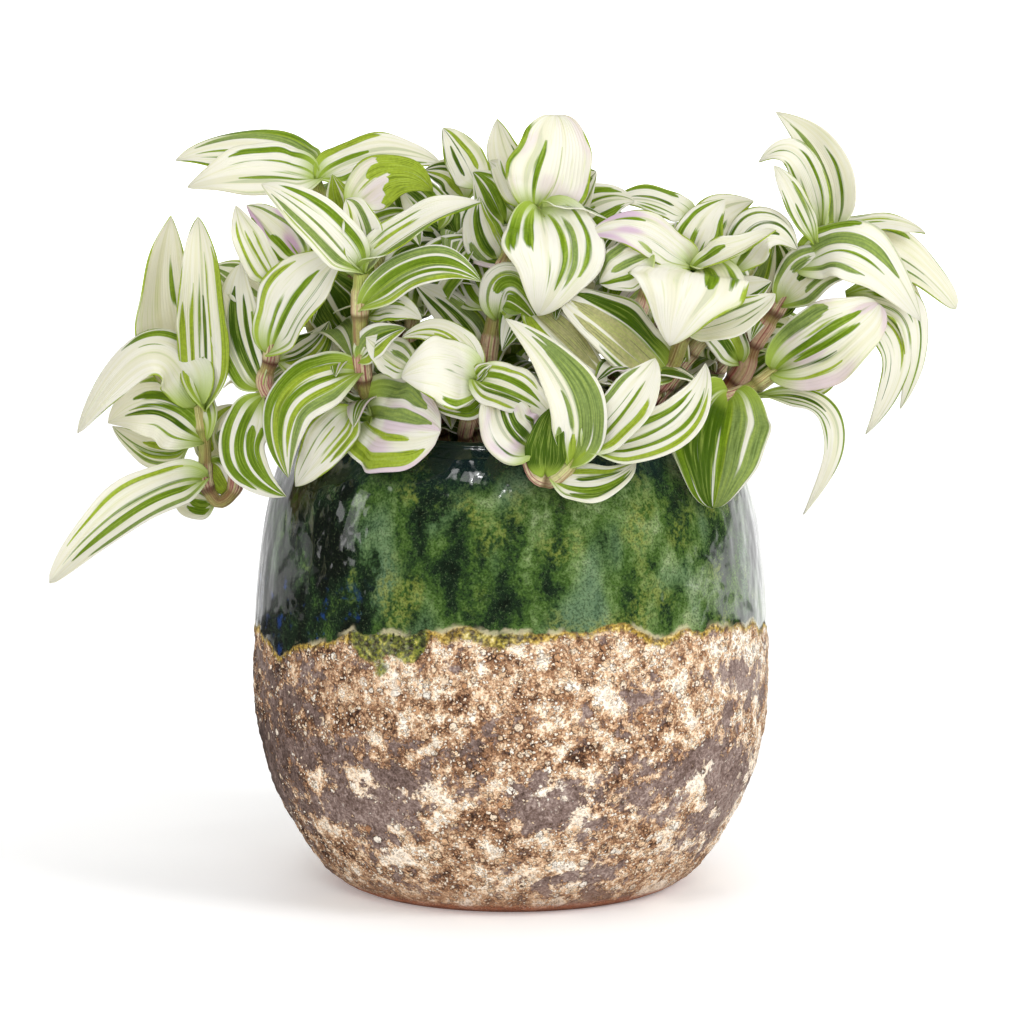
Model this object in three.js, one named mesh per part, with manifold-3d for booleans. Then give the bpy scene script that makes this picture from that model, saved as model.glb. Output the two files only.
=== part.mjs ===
// Potted inch plant: a variegated Tradescantia in a round glazed pot.
// Millimetres, +Z up. The origin is the middle of the pot's flat underside, and the front looks along -Y.

import * as THREE from "three";
import { mergeVertices } from "three/addons/utils/BufferGeometryUtils.js";
import Module from "manifold-3d";

const wasm = await Module();
wasm.setup();

// Glazed pot
const FOOT_RADIUS = 51.5;
const POT_OUTLINE = [
  [55.5, 1.8],
  [60.5, 6],
  [69.7, 19],
  [77.2, 33.5],
  [80.6, 46],
  [82.4, 60],
  [82.5, 74],
  [81.8, 92],
  [80, 110],
  [77.6, 124],
  [75, 134],
  [71.5, 142],
  [67.6, 148.6],
];
const RIM_RADIUS = 62.6;
const RIM_HEIGHT = 152.8;
const LIP_ROUND = 2.2;
const LIP_STEPS = 4;
const WALL = 5.5;
const FLOOR_THICKNESS = 8;
const FLOOR_RADIUS = 53.5;
const POT_SIDES = 36;

// Grow pot and soil
const SEAT_GAP = 0.3;
const GROW_POT_HEIGHT = 120;
const GROW_POT_TOP_RADIUS = 57.5;
const GROW_POT_BASE_RADIUS = 43;
const GROW_POT_WALL = 1.2;
const GROW_POT_LIP_HEIGHT = 5;
const GROW_POT_LIP_WIDTH = 1;
const SOIL_BELOW_LIP = 5;
const SOIL_CROWN = 4;
const SOIL_RINGS = 3;
const ROUND_SIDES = 32;

// Leaves and stems
const LEAF_THICKNESS = 0.9;
const LEAF_ROWS = 6;
const LEAF_COLUMNS = 4;
const LEAF_NECK = 0.16;
const LEAF_POINT = 0.05;
const LEAF_FULLNESS = 1.5;
const WIDEST_AT = 0.35;
const CLEARANCE = 0.35;
const MERGE_WITHIN = 1e-5;
const STEM_SIDES = 8;
const STEM_STEP = 7;

const colours = {
  glaze: 0x2f5a35,
  growPot: 0x2a1d16,
  soil: 0x3a2a1f,
  stem: 0x8a6a55,
  leafGreen: 0x7fa64a,
  leafCream: 0xe9edcf,
};

const leafGreen = new THREE.Color(colours.leafGreen);
const leafCream = new THREE.Color(colours.leafCream);

function material(colour, roughness) {
  return new THREE.MeshStandardMaterial({ color: colour, roughness, metalness: 0 });
}

const vector = (point) => new THREE.Vector3(...point);

// Each stem: its radius and the points that it passes, from its root to its tip. It is cut off at the soil.
const stems = [
  {
    name: "left_stem",
    radius: 2.3,
    path: [[-28, -5, 118], [-42, -8, 150], [-54, -10, 159], [-68, -12, 160.5], [-80, -13, 153],
      [-87, -15, 139], [-88.5, -16, 129.5], [-93, -17, 126], [-97, -17, 131.5], [-97.5, -18, 145],
      [-99.5, -17, 159]],
  },
  {
    name: "side_left_stem",
    radius: 2.6,
    path: [[-20, -15, 118], [-36, -19, 149], [-50, -22, 159], [-64, -25, 160.5], [-75, -27, 161.5],
      [-78, -27, 166], [-76, -28, 174], [-74.5, -28, 186], [-74, -28, 197]],
  },
  {
    name: "fan_stem",
    radius: 2.7,
    path: [[-20, -25, 118], [-33, -32, 146], [-42, -37, 157.5], [-45.5, -41.5, 165], [-47, -46, 178],
      [-47.4, -48, 192], [-47, -48, 204]],
  },
  {
    name: "crown_left_stem",
    radius: 2.2,
    path: [[-26, 14, 118], [-38, 18, 158], [-50, 22, 190], [-59, 21, 212], [-62.5, 18, 224]],
  },
  {
    name: "crown_stem",
    radius: 2.8,
    path: [[-4, -22, 118], [-7, -31, 152], [-7.4, -38, 174.5], [-5, -38, 190], [-2, -36, 205],
      [3, -34, 215], [8, -32, 223]],
  },
  {
    name: "low_stem",
    radius: 2.2,
    path: [[-14, -33, 118], [-15, -43, 148], [-13, -53, 161], [-11.5, -61, 172]],
  },
  {
    name: "front_stem",
    radius: 2.5,
    path: [[8, -34, 118], [7, -46, 148], [6, -56, 158], [5, -66, 158.5], [5.5, -74, 152.5], [8, -76.5, 145],
      [12.5, -77, 143.5], [18, -77, 148], [23, -76.5, 152.5]],
  },
  {
    name: "middle_right_stem",
    radius: 2.8,
    path: [[22, -16, 118], [34, -28, 150], [43, -38, 163], [49.5, -43, 172], [54, -45, 184],
      [56.5, -45, 196], [57, -45, 204]],
  },
  {
    name: "right_stem",
    radius: 3.1,
    path: [[30, -4, 118], [45, -9, 150], [56, -14, 158], [65, -17, 159.5], [73, -18, 167.5],
      [76.5, -18, 177], [81, -18, 184], [86, -18, 192.5], [92.5, -18, 201.5], [100, -15, 209]],
  },
  {
    name: "right_low_stem",
    radius: 2.4,
    path: [[26, -24, 118], [40, -27, 148], [52, -29, 158.5], [64, -30, 160.5], [75, -29, 164],
      [84, -25, 169.5]],
  },
  {
    name: "back_left_stem",
    radius: 2.4,
    path: [[-20, 28, 118], [-32, 38, 150], [-42, 47, 161], [-50, 58, 168], [-55, 66, 180], [-56, 68, 194]],
  },
  {
    name: "back_stem",
    radius: 2.4,
    path: [[-2, 34, 118], [-2, 48, 150], [-1, 60, 160], [1, 74, 160.5], [4, 84, 154], [8, 90, 146]],
  },
  {
    name: "back_right_stem",
    radius: 2.5,
    path: [[18, 24, 118], [30, 35, 152], [38, 44, 168], [44, 52, 184], [47, 55, 198]],
  },
];

// Each leaf: the base, middle and tip of its midrib, the way its upper face looks, its width in full,
// the angle of its fold at the midrib and the further turn out to its margins, in degrees
const leaves = [
  {
    name: "left_leaf_1",
    midrib: [[-99, -15, 157], [-111.5, -8, 184], [-107, -10, 217]],
    face: [0.5, -0.8, 0.1], width: 20, fold: 5, cup: 25, cream: 0.85,
  },
  {
    name: "left_leaf_2",
    midrib: [[-97, -20, 156], [-99.5, -19, 187], [-99.2, -14, 217.2]],
    face: [0, -1, 0.15], width: 19, fold: 18, cup: 25, cream: 0.7,
  },
  {
    name: "left_leaf_3",
    midrib: [[-99.5, -19, 158], [-112.3, -28, 171.5], [-135.8, -24, 150.7]],
    face: [-0.3, -0.55, 0.78], width: 19, fold: 5, cup: -20, cream: 0.9,
  },
  {
    name: "left_leaf_4",
    midrib: [[-97.6, -18, 146], [-112, -20, 157], [-128.2, -17, 151.5]],
    face: [-0.1, -0.9, 0.4], width: 25, fold: 6, cup: 15, cream: 0.45,
  },
  {
    name: "left_leaf_5",
    midrib: [[-97, -18, 133], [-121, -27, 122.5], [-146.8, -26, 101.4]],
    face: [-0.2, -0.85, 0.5], width: 17, fold: 18, cup: 10, cream: 0.5,
  },
  {
    name: "crown_left_leaf_1",
    midrib: [[-62.5, 18, 224], [-79.8, 10, 229.5], [-95.8, 12, 225]],
    face: [0, -0.6, 0.8], width: 20, fold: 12, cup: -10, cream: 0.65,
  },
  {
    name: "crown_left_leaf_2",
    midrib: [[-62.5, 20, 224], [-84.3, 33, 234], [-108.2, 34, 230]],
    face: [-0.1, -0.35, 0.93], width: 17, fold: 12, cup: -15, cream: 0.7,
  },
  {
    name: "crown_left_leaf_3",
    midrib: [[-62, 18, 224], [-42.7, 17, 232.5], [-22.5, 18, 230]],
    face: [0, -0.6, 0.8], width: 16, fold: 14, cup: -15, cream: 0.7,
  },
  {
    name: "fan_leaf_1",
    midrib: [[-47, -48, 204], [-61.4, -50, 220.8], [-78, -46, 232]],
    face: [0.3, -0.85, 0.4], width: 18, fold: 16, cup: 5, cream: 0.4,
  },
  {
    name: "fan_leaf_2",
    midrib: [[-47, -48, 205], [-27, -50, 220], [-9.4, -45, 226]],
    face: [-0.2, -0.5, 0.85], width: 17, fold: 25, cup: 5, cream: 0.7,
  },
  {
    name: "fan_leaf_3",
    midrib: [[-47, -49, 193], [-26.8, -62, 208.5], [-9.4, -65, 204]],
    face: [0, -0.85, 0.5], width: 16, fold: 12, cup: -15, cream: 0.4,
  },
  {
    name: "side_left_leaf_1",
    midrib: [[-75.5, -29, 176], [-66, -37, 197], [-51, -31, 209]],
    face: [-0.5, -0.75, 0.4], width: 24, fold: 8, cup: 15, cream: 0.6,
  },
  {
    name: "side_left_leaf_2",
    midrib: [[-78, -26, 164], [-86, -21, 181.5], [-85.7, -15, 202.4]],
    face: [-0.45, -0.88, 0.1], width: 16, fold: 8, cup: 20, cream: 0.5,
  },
  {
    name: "side_left_leaf_3",
    midrib: [[-74.5, -27, 197], [-82, -22, 209.5], [-87, -20, 221.7]],
    face: [-0.2, -0.9, 0.35], width: 12, fold: 15, cup: 10, cream: 0.6,
  },
  {
    name: "fan_leaf_4",
    midrib: [[-47, -45, 172], [-69, -52, 164], [-70, -46, 139]],
    face: [-0.35, -0.75, 0.55], width: 22, fold: 5, cup: -20, cream: 0.4,
  },
  {
    name: "side_left_leaf_4",
    midrib: [[-78, -27, 162], [-84, -33, 144], [-71, -41, 132]],
    face: [-0.5, -0.85, 0.1], width: 14, fold: 10, cup: -10, cream: 0.15,
  },
  {
    name: "crown_leaf_1",
    midrib: [[8, -32, 223], [13, -34, 238.5], [14, -24, 251]],
    face: [0.1, -0.95, 0.3], width: 25, fold: 4, cup: 22, cream: 0.85,
  },
  {
    name: "crown_leaf_2",
    midrib: [[6, -31, 221], [-1, -22, 236], [-4.4, -18, 249]],
    face: [-0.3, -0.9, 0.2], width: 13, fold: 14, cup: 15, cream: 0.7,
  },
  {
    name: "crown_leaf_3",
    midrib: [[9, -34, 222], [15, -53, 210], [8.4, -53, 191.5]],
    face: [0.2, -0.93, 0.3], width: 27, fold: 8, cup: -12, cream: 0.65,
  },
  {
    name: "crown_leaf_4",
    midrib: [[-5, -36, 190], [-14, -22, 204], [-6, -14, 218]],
    face: [-0.3, -0.9, 0.2], width: 16, fold: 8, cup: 18, cream: 0.25,
  },
  {
    name: "low_leaf_1",
    midrib: [[-11.5, -61, 171.5], [-22.8, -71, 177.5], [-34, -69, 174.5]],
    face: [-0.1, -0.85, 0.5], width: 24, fold: 5, cup: -20, cream: 0.8,
  },
  {
    name: "low_leaf_2",
    midrib: [[-11.5, -60, 172], [-20, -55, 185], [-34, -56, 185]],
    face: [0.1, -0.6, 0.8], width: 14, fold: 12, cup: -15, cream: 0.6,
  },
  {
    name: "low_leaf_3",
    midrib: [[-11, -62, 172], [1.2, -70, 170], [13, -70, 161.5]],
    face: [0.1, -0.75, 0.65], width: 18, fold: 10, cup: -10, cream: 0.6,
  },
  {
    name: "round_leaf",
    midrib: [[-43.4, -41, 157.5], [-35, -58, 159.5], [-22, -68, 157.5]],
    face: [-0.75, -0.62, 0.1], width: 32, fold: 3, cup: -14, cream: 0.55,
  },
  {
    name: "front_leaf_1",
    midrib: [[18.5, -77.5, 148.5], [19, -82, 171.5], [-1.6, -76, 194]],
    face: [0, -0.95, 0.3], width: 18, fold: 10, cup: 8, cream: 0.5,
  },
  {
    name: "front_leaf_2",
    midrib: [[23, -77, 152.5], [37, -81, 169], [44.7, -76, 181.5]],
    face: [0.1, -0.9, 0.4], width: 17, fold: 15, cup: 12, cream: 0.55,
  },
  {
    name: "front_leaf_3",
    midrib: [[23.5, -76, 152.5], [50, -80, 161], [60.5, -70, 179]],
    face: [0.15, -0.85, 0.5], width: 17, fold: 18, cup: 8, cream: 0.4,
  },
  {
    name: "front_leaf_4",
    midrib: [[12, -77, 143.5], [27, -80, 142.5], [38.8, -75, 148.5]],
    face: [0, -0.75, 0.66], width: 14, fold: 12, cup: 5, cream: 0.4,
  },
  {
    name: "hanging_leaf",
    midrib: [[69, -29, 161.5], [65, -51, 150], [63.5, -51, 130]],
    face: [0.2, -0.93, 0.3], width: 28, fold: 10, cup: -15, cream: 0.1,
  },
  {
    name: "middle_right_leaf_1",
    midrib: [[49, -44, 171], [32.6, -55, 188.5], [14, -49, 198]],
    face: [-0.1, -0.7, 0.7], width: 24, fold: 5, cup: -15, cream: 0.3,
  },
  {
    name: "middle_right_leaf_2",
    midrib: [[57, -45, 203], [55, -63, 202.5], [49.4, -66, 184]],
    face: [0, -0.8, 0.6], width: 32, fold: 4, cup: -12, cream: 0.8,
  },
  {
    name: "middle_right_leaf_3",
    midrib: [[57, -45, 204], [70, -51, 211], [83, -43, 217]],
    face: [-0.2, -0.55, 0.8], width: 13, fold: 30, cup: 10, cream: 0.6,
  },
  {
    name: "middle_right_leaf_4",
    midrib: [[57, -44, 204.5], [40.4, -46, 217.3], [24.1, -44, 215.5]],
    face: [0, -0.6, 0.8], width: 18, fold: 8, cup: -18, cream: 0.7,
  },
  {
    name: "middle_right_leaf_5",
    midrib: [[54.5, -45, 185], [70.2, -50, 190.4], [82.9, -44, 197]],
    face: [0, -0.75, 0.65], width: 15, fold: 12, cup: 8, cream: 0.6,
  },
  {
    name: "right_leaf_1",
    midrib: [[92.5, -19, 201.5], [109.5, -32, 209], [129.5, -26, 185.7]],
    face: [-0.1, -0.75, 0.65], width: 17, fold: 5, cup: -20, cream: 0.45,
  },
  {
    name: "right_leaf_2",
    midrib: [[99, -15, 208.5], [124, -12, 207.5], [141.5, -12, 185.5]],
    face: [0.2, -0.6, 0.8], width: 13, fold: 14, cup: -10, cream: 0.7,
  },
  {
    name: "right_leaf_3",
    midrib: [[101, -14, 210], [99.5, -9, 233], [84, -8, 250]],
    face: [-0.3, -0.9, 0.3], width: 16, fold: 12, cup: 10, cream: 0.65,
  },
  {
    name: "right_leaf_4",
    midrib: [[84, -26, 169.5], [101.3, -38, 183.8], [116.4, -31, 193.2]],
    face: [0.1, -0.9, 0.4], width: 23, fold: 10, cup: 8, cream: 0.6,
  },
  {
    name: "right_leaf_5",
    midrib: [[78, -29, 161.5], [100.5, -38, 155], [93, -37, 126.5]],
    face: [0.5, -0.7, 0.5], width: 11, fold: 20, cup: 2, cream: 0.6,
  },
  {
    name: "back_left_leaf_1",
    midrib: [[-56, 68, 194], [-68, 74, 204], [-84, 76, 198]],
    face: [-0.3, 0.6, 0.75], width: 18, fold: 10, cup: -12, cream: 0.6,
  },
  {
    name: "back_left_leaf_2",
    midrib: [[-56, 69, 190], [-48, 88, 192], [-38, 98, 176]],
    face: [0.1, 0.7, 0.7], width: 20, fold: 8, cup: -15, cream: 0.5,
  },
  {
    name: "back_leaf_1",
    midrib: [[8, 90, 146], [22, 100, 146], [32, 100, 128]],
    face: [0.4, 0.8, 0.45], width: 18, fold: 8, cup: -15, cream: 0.5,
  },
  {
    name: "back_leaf_2",
    midrib: [[1, 75, 160.5], [-16, 92, 160], [-26, 96, 138]],
    face: [-0.3, 0.85, 0.45], width: 19, fold: 8, cup: -15, cream: 0.6,
  },
  {
    name: "back_right_leaf_1",
    midrib: [[47, 55, 198], [62, 74, 203], [74, 84, 190]],
    face: [0.4, 0.6, 0.7], width: 19, fold: 8, cup: -14, cream: 0.6,
  },
];

// A closed geometry as a solid that can be cut
const toSolid = (geometry) => {
  geometry.deleteAttribute("normal");
  geometry.deleteAttribute("uv");
  const merged = mergeVertices(geometry, MERGE_WITHIN);
  const mesh = new wasm.Mesh({
    numProp: 3,
    vertProperties: new Float32Array(merged.attributes.position.array),
    triVerts: new Uint32Array(merged.index.array),
  });
  mesh.merge();
  return new wasm.Manifold(mesh);
};

// A cut solid as a geometry again
const toGeometry = (solid) => {
  const mesh = solid.getMesh();
  const geometry = new THREE.BufferGeometry();
  geometry.setAttribute("position", new THREE.BufferAttribute(new Float32Array(mesh.vertProperties), 3));
  geometry.setIndex(new THREE.BufferAttribute(new Uint32Array(mesh.triVerts), 1));
  geometry.computeVertexNormals();
  return geometry;
};

// The pot's wall: the outer outline, the rounded lip and the inner face a wall's thickness inside it.
// A spare amount swells the outline on both faces, for the room that its neighbours keep clear.
function potGeometry(spare) {
  const outer = POT_OUTLINE.map(([r, z]) => new THREE.Vector2(r + spare, z));
  const lipMiddle = new THREE.Vector2(RIM_RADIUS, RIM_HEIGHT - LIP_ROUND);
  const lip = Array.from({ length: LIP_STEPS + 1 }, (_, step) => {
    const turn = (step / LIP_STEPS) * Math.PI;
    const reach = LIP_ROUND + spare;
    return new THREE.Vector2(lipMiddle.x + reach * Math.cos(turn), lipMiddle.y + reach * Math.sin(turn));
  });
  const inner = POT_OUTLINE.filter(([, z]) => z > FLOOR_THICKNESS + WALL)
    .reverse()
    .map(([r, z]) => new THREE.Vector2(r - WALL - spare, z));
  const floorTop = FLOOR_THICKNESS + spare;
  const points = [
    new THREE.Vector2(0, -spare),
    new THREE.Vector2(FOOT_RADIUS + spare, -spare),
    ...outer,
    ...lip,
    ...inner,
    new THREE.Vector2(FLOOR_RADIUS - spare, floorTop),
    new THREE.Vector2(0, floorTop),
  ];
  return new THREE.LatheGeometry(points, POT_SIDES).rotateX(Math.PI / 2);
}

const growPotFloor = FLOOR_THICKNESS + SEAT_GAP;
const growPotTop = growPotFloor + GROW_POT_HEIGHT;
const soilTop = growPotTop - SOIL_BELOW_LIP;

const growPotFlare = (GROW_POT_TOP_RADIUS - GROW_POT_BASE_RADIUS) / GROW_POT_HEIGHT;
const growPotRadius = (height) => GROW_POT_BASE_RADIUS + growPotFlare * (height - growPotFloor);

// Thin tapered nursery pot with a turned-out lip, open at the top
function growPotGeometry() {
  const lipBottom = growPotTop - GROW_POT_LIP_HEIGHT;
  const inside = (height) => growPotRadius(height) - GROW_POT_WALL;
  const points = [
    [0, growPotFloor],
    [GROW_POT_BASE_RADIUS, growPotFloor],
    [growPotRadius(lipBottom), lipBottom],
    [GROW_POT_TOP_RADIUS + GROW_POT_LIP_WIDTH, lipBottom],
    [GROW_POT_TOP_RADIUS + GROW_POT_LIP_WIDTH, growPotTop],
    [inside(growPotTop), growPotTop],
    [inside(growPotFloor + GROW_POT_WALL), growPotFloor + GROW_POT_WALL],
    [0, growPotFloor + GROW_POT_WALL],
  ].map(([r, z]) => new THREE.Vector2(r, z));
  return new THREE.LatheGeometry(points, ROUND_SIDES).rotateX(Math.PI / 2);
}

// The plug of soil, a little higher in the middle
function soilGeometry(spare) {
  const bottom = growPotFloor + GROW_POT_WALL + SEAT_GAP;
  const reach = (height) => growPotRadius(height) - GROW_POT_WALL - SEAT_GAP * 2;
  const points = [new THREE.Vector2(0, bottom), new THREE.Vector2(reach(bottom), bottom)];
  for (let ring = SOIL_RINGS; ring >= 0; ring -= 1) {
    const share = ring / SOIL_RINGS;
    const height = soilTop + spare - SOIL_CROWN * share * share;
    points.push(new THREE.Vector2(reach(soilTop - SOIL_CROWN) * share, height));
  }
  return new THREE.LatheGeometry(points, ROUND_SIDES).rotateX(Math.PI / 2);
}

// A round stem along a smooth curve
function stemGeometry({ path, radius }, spare) {
  const curve = new THREE.CatmullRomCurve3(path.map(vector), false, "centripetal");
  const outline = new THREE.Shape();
  for (let side = 0; side < STEM_SIDES; side += 1) {
    const turn = (side / STEM_SIDES) * Math.PI * 2;
    const x = (radius + spare) * Math.cos(turn);
    const y = (radius + spare) * Math.sin(turn);
    if (side === 0) {
      outline.moveTo(x, y);
    } else {
      outline.lineTo(x, y);
    }
  }
  outline.closePath();
  return new THREE.ExtrudeGeometry(outline, {
    steps: Math.round(curve.getLength() / STEM_STEP),
    bevelEnabled: false,
    extrudePath: curve,
  });
}

// Half a leaf's width along it, as a share of its widest: a narrow neck, a broad shoulder, a fine tip
function leafOutline(along) {
  const rise = WIDEST_AT * LEAF_FULLNESS;
  const fall = (1 - WIDEST_AT) * LEAF_FULLNESS;
  const shape = (t) => t ** rise * (1 - t) ** fall;
  return Math.max(shape(along) / shape(WIDEST_AT), LEAF_NECK * (1 - along), LEAF_POINT);
}

// A leaf: a thin blade that follows its midrib, folded and cupped across it
function leafGeometry({ midrib, face, width, fold, cup }, spare) {
  const [base, middle, tip] = midrib.map(vector);
  const bend = middle.clone().multiplyScalar(2).addScaledVector(base, -0.5).addScaledVector(tip, -0.5);
  const spine = new THREE.QuadraticBezierCurve3(base, bend, tip);
  const foldAngle = THREE.MathUtils.degToRad(fold);
  const cupAngle = THREE.MathUtils.degToRad(cup);
  const half = LEAF_THICKNESS / 2 + spare;
  const sides = [[], []];
  for (let row = 0; row <= LEAF_ROWS; row += 1) {
    const along = row / LEAF_ROWS;
    const centre = spine.getPoint(along);
    const forward = spine.getTangent(along);
    const across = new THREE.Vector3().crossVectors(forward, vector(face)).normalize();
    const up = new THREE.Vector3().crossVectors(across, forward).normalize();
    const reach = (width / 2) * leafOutline(along) + spare;
    for (let column = 0; column <= LEAF_COLUMNS; column += 1) {
      const share = (column / LEAF_COLUMNS) * 2 - 1;
      const out = Math.abs(share);
      const turn = foldAngle + cupAngle * out;
      const flat = (Math.sin(turn) - Math.sin(foldAngle)) / cupAngle;
      const lift = (Math.cos(foldAngle) - Math.cos(turn)) / cupAngle;
      const point = centre.clone().addScaledVector(across, Math.sign(share) * flat * reach);
      point.addScaledVector(up, lift * reach);
      const normal = up.clone().multiplyScalar(Math.cos(turn));
      normal.addScaledVector(across, -Math.sign(share) * Math.sin(turn));
      sides[0].push(point.clone().addScaledVector(normal, half));
      sides[1].push(point.clone().addScaledVector(normal, -half));
    }
  }
  const wide = LEAF_COLUMNS + 1;
  const count = sides[0].length;
  const index = [];
  const quad = (a, b, c, d) => index.push(a, b, c, a, c, d);
  for (let row = 0; row < LEAF_ROWS; row += 1) {
    for (let column = 0; column < LEAF_COLUMNS; column += 1) {
      const corner = row * wide + column;
      quad(corner, corner + 1, corner + wide + 1, corner + wide);
      quad(count + corner, count + corner + wide, count + corner + wide + 1, count + corner + 1);
    }
    const left = row * wide;
    const right = left + LEAF_COLUMNS;
    quad(left, left + wide, count + left + wide, count + left);
    quad(right, count + right, count + right + wide, right + wide);
  }
  const last = LEAF_ROWS * wide;
  for (let column = 0; column < LEAF_COLUMNS; column += 1) {
    quad(column, count + column, count + column + 1, column + 1);
    quad(last + column, last + column + 1, count + last + column + 1, count + last + column);
  }
  const geometry = new THREE.BufferGeometry();
  const positions = sides.flat().flatMap((point) => point.toArray());
  geometry.setAttribute("position", new THREE.Float32BufferAttribute(positions, 3));
  geometry.setIndex(index);
  return geometry;
}

const plant = new THREE.Group();
const kept = [];

// Adds a piece, with the room that later pieces keep clear of it
function add(name, solid, room, finish) {
  const mesh = new THREE.Mesh(toGeometry(solid), finish);
  mesh.name = name;
  plant.add(mesh);
  kept.push(room.add(solid));
}

// Whether two boxes miss each other on some axis
const apart = (a, b) => [0, 1, 2].some((axis) => a.min[axis] > b.max[axis] || b.min[axis] > a.max[axis]);

// Trims a piece where it would run into an earlier one, and keeps its largest part
function trimmed(solid) {
  let rest = solid;
  for (const room of kept) {
    if (!apart(rest.boundingBox(), room.boundingBox())) {
      rest = rest.subtract(room);
    }
  }
  const parts = rest.decompose();
  parts.sort((a, b) => b.volume() - a.volume());
  return parts[0];
}

add("pot", toSolid(potGeometry(0)), toSolid(potGeometry(CLEARANCE)), material(colours.glaze, 0.25));
add("grow_pot", toSolid(growPotGeometry()), toSolid(growPotGeometry()), material(colours.growPot, 0.5));
add("soil", toSolid(soilGeometry(0)), toSolid(soilGeometry(CLEARANCE)), material(colours.soil, 0.95));

for (const stem of stems) {
  const room = toSolid(stemGeometry(stem, CLEARANCE));
  add(stem.name, trimmed(toSolid(stemGeometry(stem, 0))), room, material(colours.stem, 0.55));
}

for (const leaf of leaves) {
  const room = toSolid(leafGeometry(leaf, CLEARANCE));
  const colour = leafGreen.clone().lerp(leafCream, leaf.cream);
  add(leaf.name, trimmed(toSolid(leafGeometry(leaf, 0))), room, material(colour, 0.45));
}

export default plant;
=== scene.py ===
"""Potted inch plant: a variegated trailing plant in a round glazed cover pot.

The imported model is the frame. Each of its leaves and stems is replaced by a finer one in the same place, and
small leaves and further shoots are added. Lengths are in millimetres until a mesh is written.
"""

import logging
import math
import random
import zlib
from bisect import bisect_left
from dataclasses import dataclass
from enum import Enum, IntEnum
from functools import partial, reduce
from typing import Callable, NamedTuple, Sequence

import bmesh
import bpy
from mathutils import Matrix, Vector, noise

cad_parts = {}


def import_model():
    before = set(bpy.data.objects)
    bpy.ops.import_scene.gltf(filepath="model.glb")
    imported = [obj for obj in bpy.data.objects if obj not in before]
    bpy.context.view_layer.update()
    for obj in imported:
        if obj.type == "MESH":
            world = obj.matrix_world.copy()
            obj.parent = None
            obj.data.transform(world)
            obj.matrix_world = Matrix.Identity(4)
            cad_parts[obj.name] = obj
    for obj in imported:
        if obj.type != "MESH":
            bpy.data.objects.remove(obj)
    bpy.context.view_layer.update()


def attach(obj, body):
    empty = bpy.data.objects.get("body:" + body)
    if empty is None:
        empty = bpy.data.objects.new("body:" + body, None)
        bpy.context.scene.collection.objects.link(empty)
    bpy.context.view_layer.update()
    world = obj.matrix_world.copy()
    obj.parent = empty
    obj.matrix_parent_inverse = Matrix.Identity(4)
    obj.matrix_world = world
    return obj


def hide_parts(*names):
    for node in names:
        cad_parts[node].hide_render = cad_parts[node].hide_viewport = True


log = logging.getLogger("potted_plant")

MM = 0.001
BODY = "root"
WELD = 0.01
Point = tuple[float, float, float]
Socket = bpy.types.NodeSocket
Value = Socket | float | str | Sequence[float]
Inputs = dict[str | int, Value]


def smooth(low: float, high: float, value: float) -> float:
    """Rises smoothly from 0 at low to 1 at high."""
    share = min(max((value - low) / (high - low), 0.0), 1.0)
    return share * share * (3 - 2 * share)


def clouds(place: Vector, fineness: float, offset: Point = (0, 0, 0)) -> float:
    """Returns a smooth noise between about -1 and 1; a higher fineness makes it change faster."""
    return noise.noise(place * fineness + Vector(offset))


def hexadecimal(code: str) -> tuple[float, float, float, float]:
    """Turns a screen colour into the linear colour that a shader takes.

    Args:
        code: Its six hexadecimal digits.

    Returns:
        Red, green, blue and alpha.
    """
    parts = (int(code[place : place + 2], 16) / 255 for place in (0, 2, 4))
    red, green, blue = (
        part / 12.92 if part <= 0.04045 else ((part + 0.055) / 1.055) ** 2.4 for part in parts
    )
    return red, green, blue, 1.0


class Green(Enum):
    """The greens of a stripe, as places along the leaf's colour ramp."""

    DEEP = 0.0
    FRESH = 0.25
    LIME = 0.5
    SILVER = 0.75
    STRAW = 1.0


DEEP, FRESH, LIME, SILVER, STRAW = Green
Row = tuple[float, float, float, float, Green]


class Band(NamedTuple):
    """One stripe: its place and width across the leaf (-1 to 1), its start and end along it (0 to 1)."""

    at: float
    width: float
    start: float
    end: float
    green: Green

    @classmethod
    def of(cls, row: Row) -> "Band":
        """Reads a row of the tables, whose numbers are hundredths."""
        at, width, start, end, green = row
        return cls(at / 100, width / 100, start / 100, end / 100, green)


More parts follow.
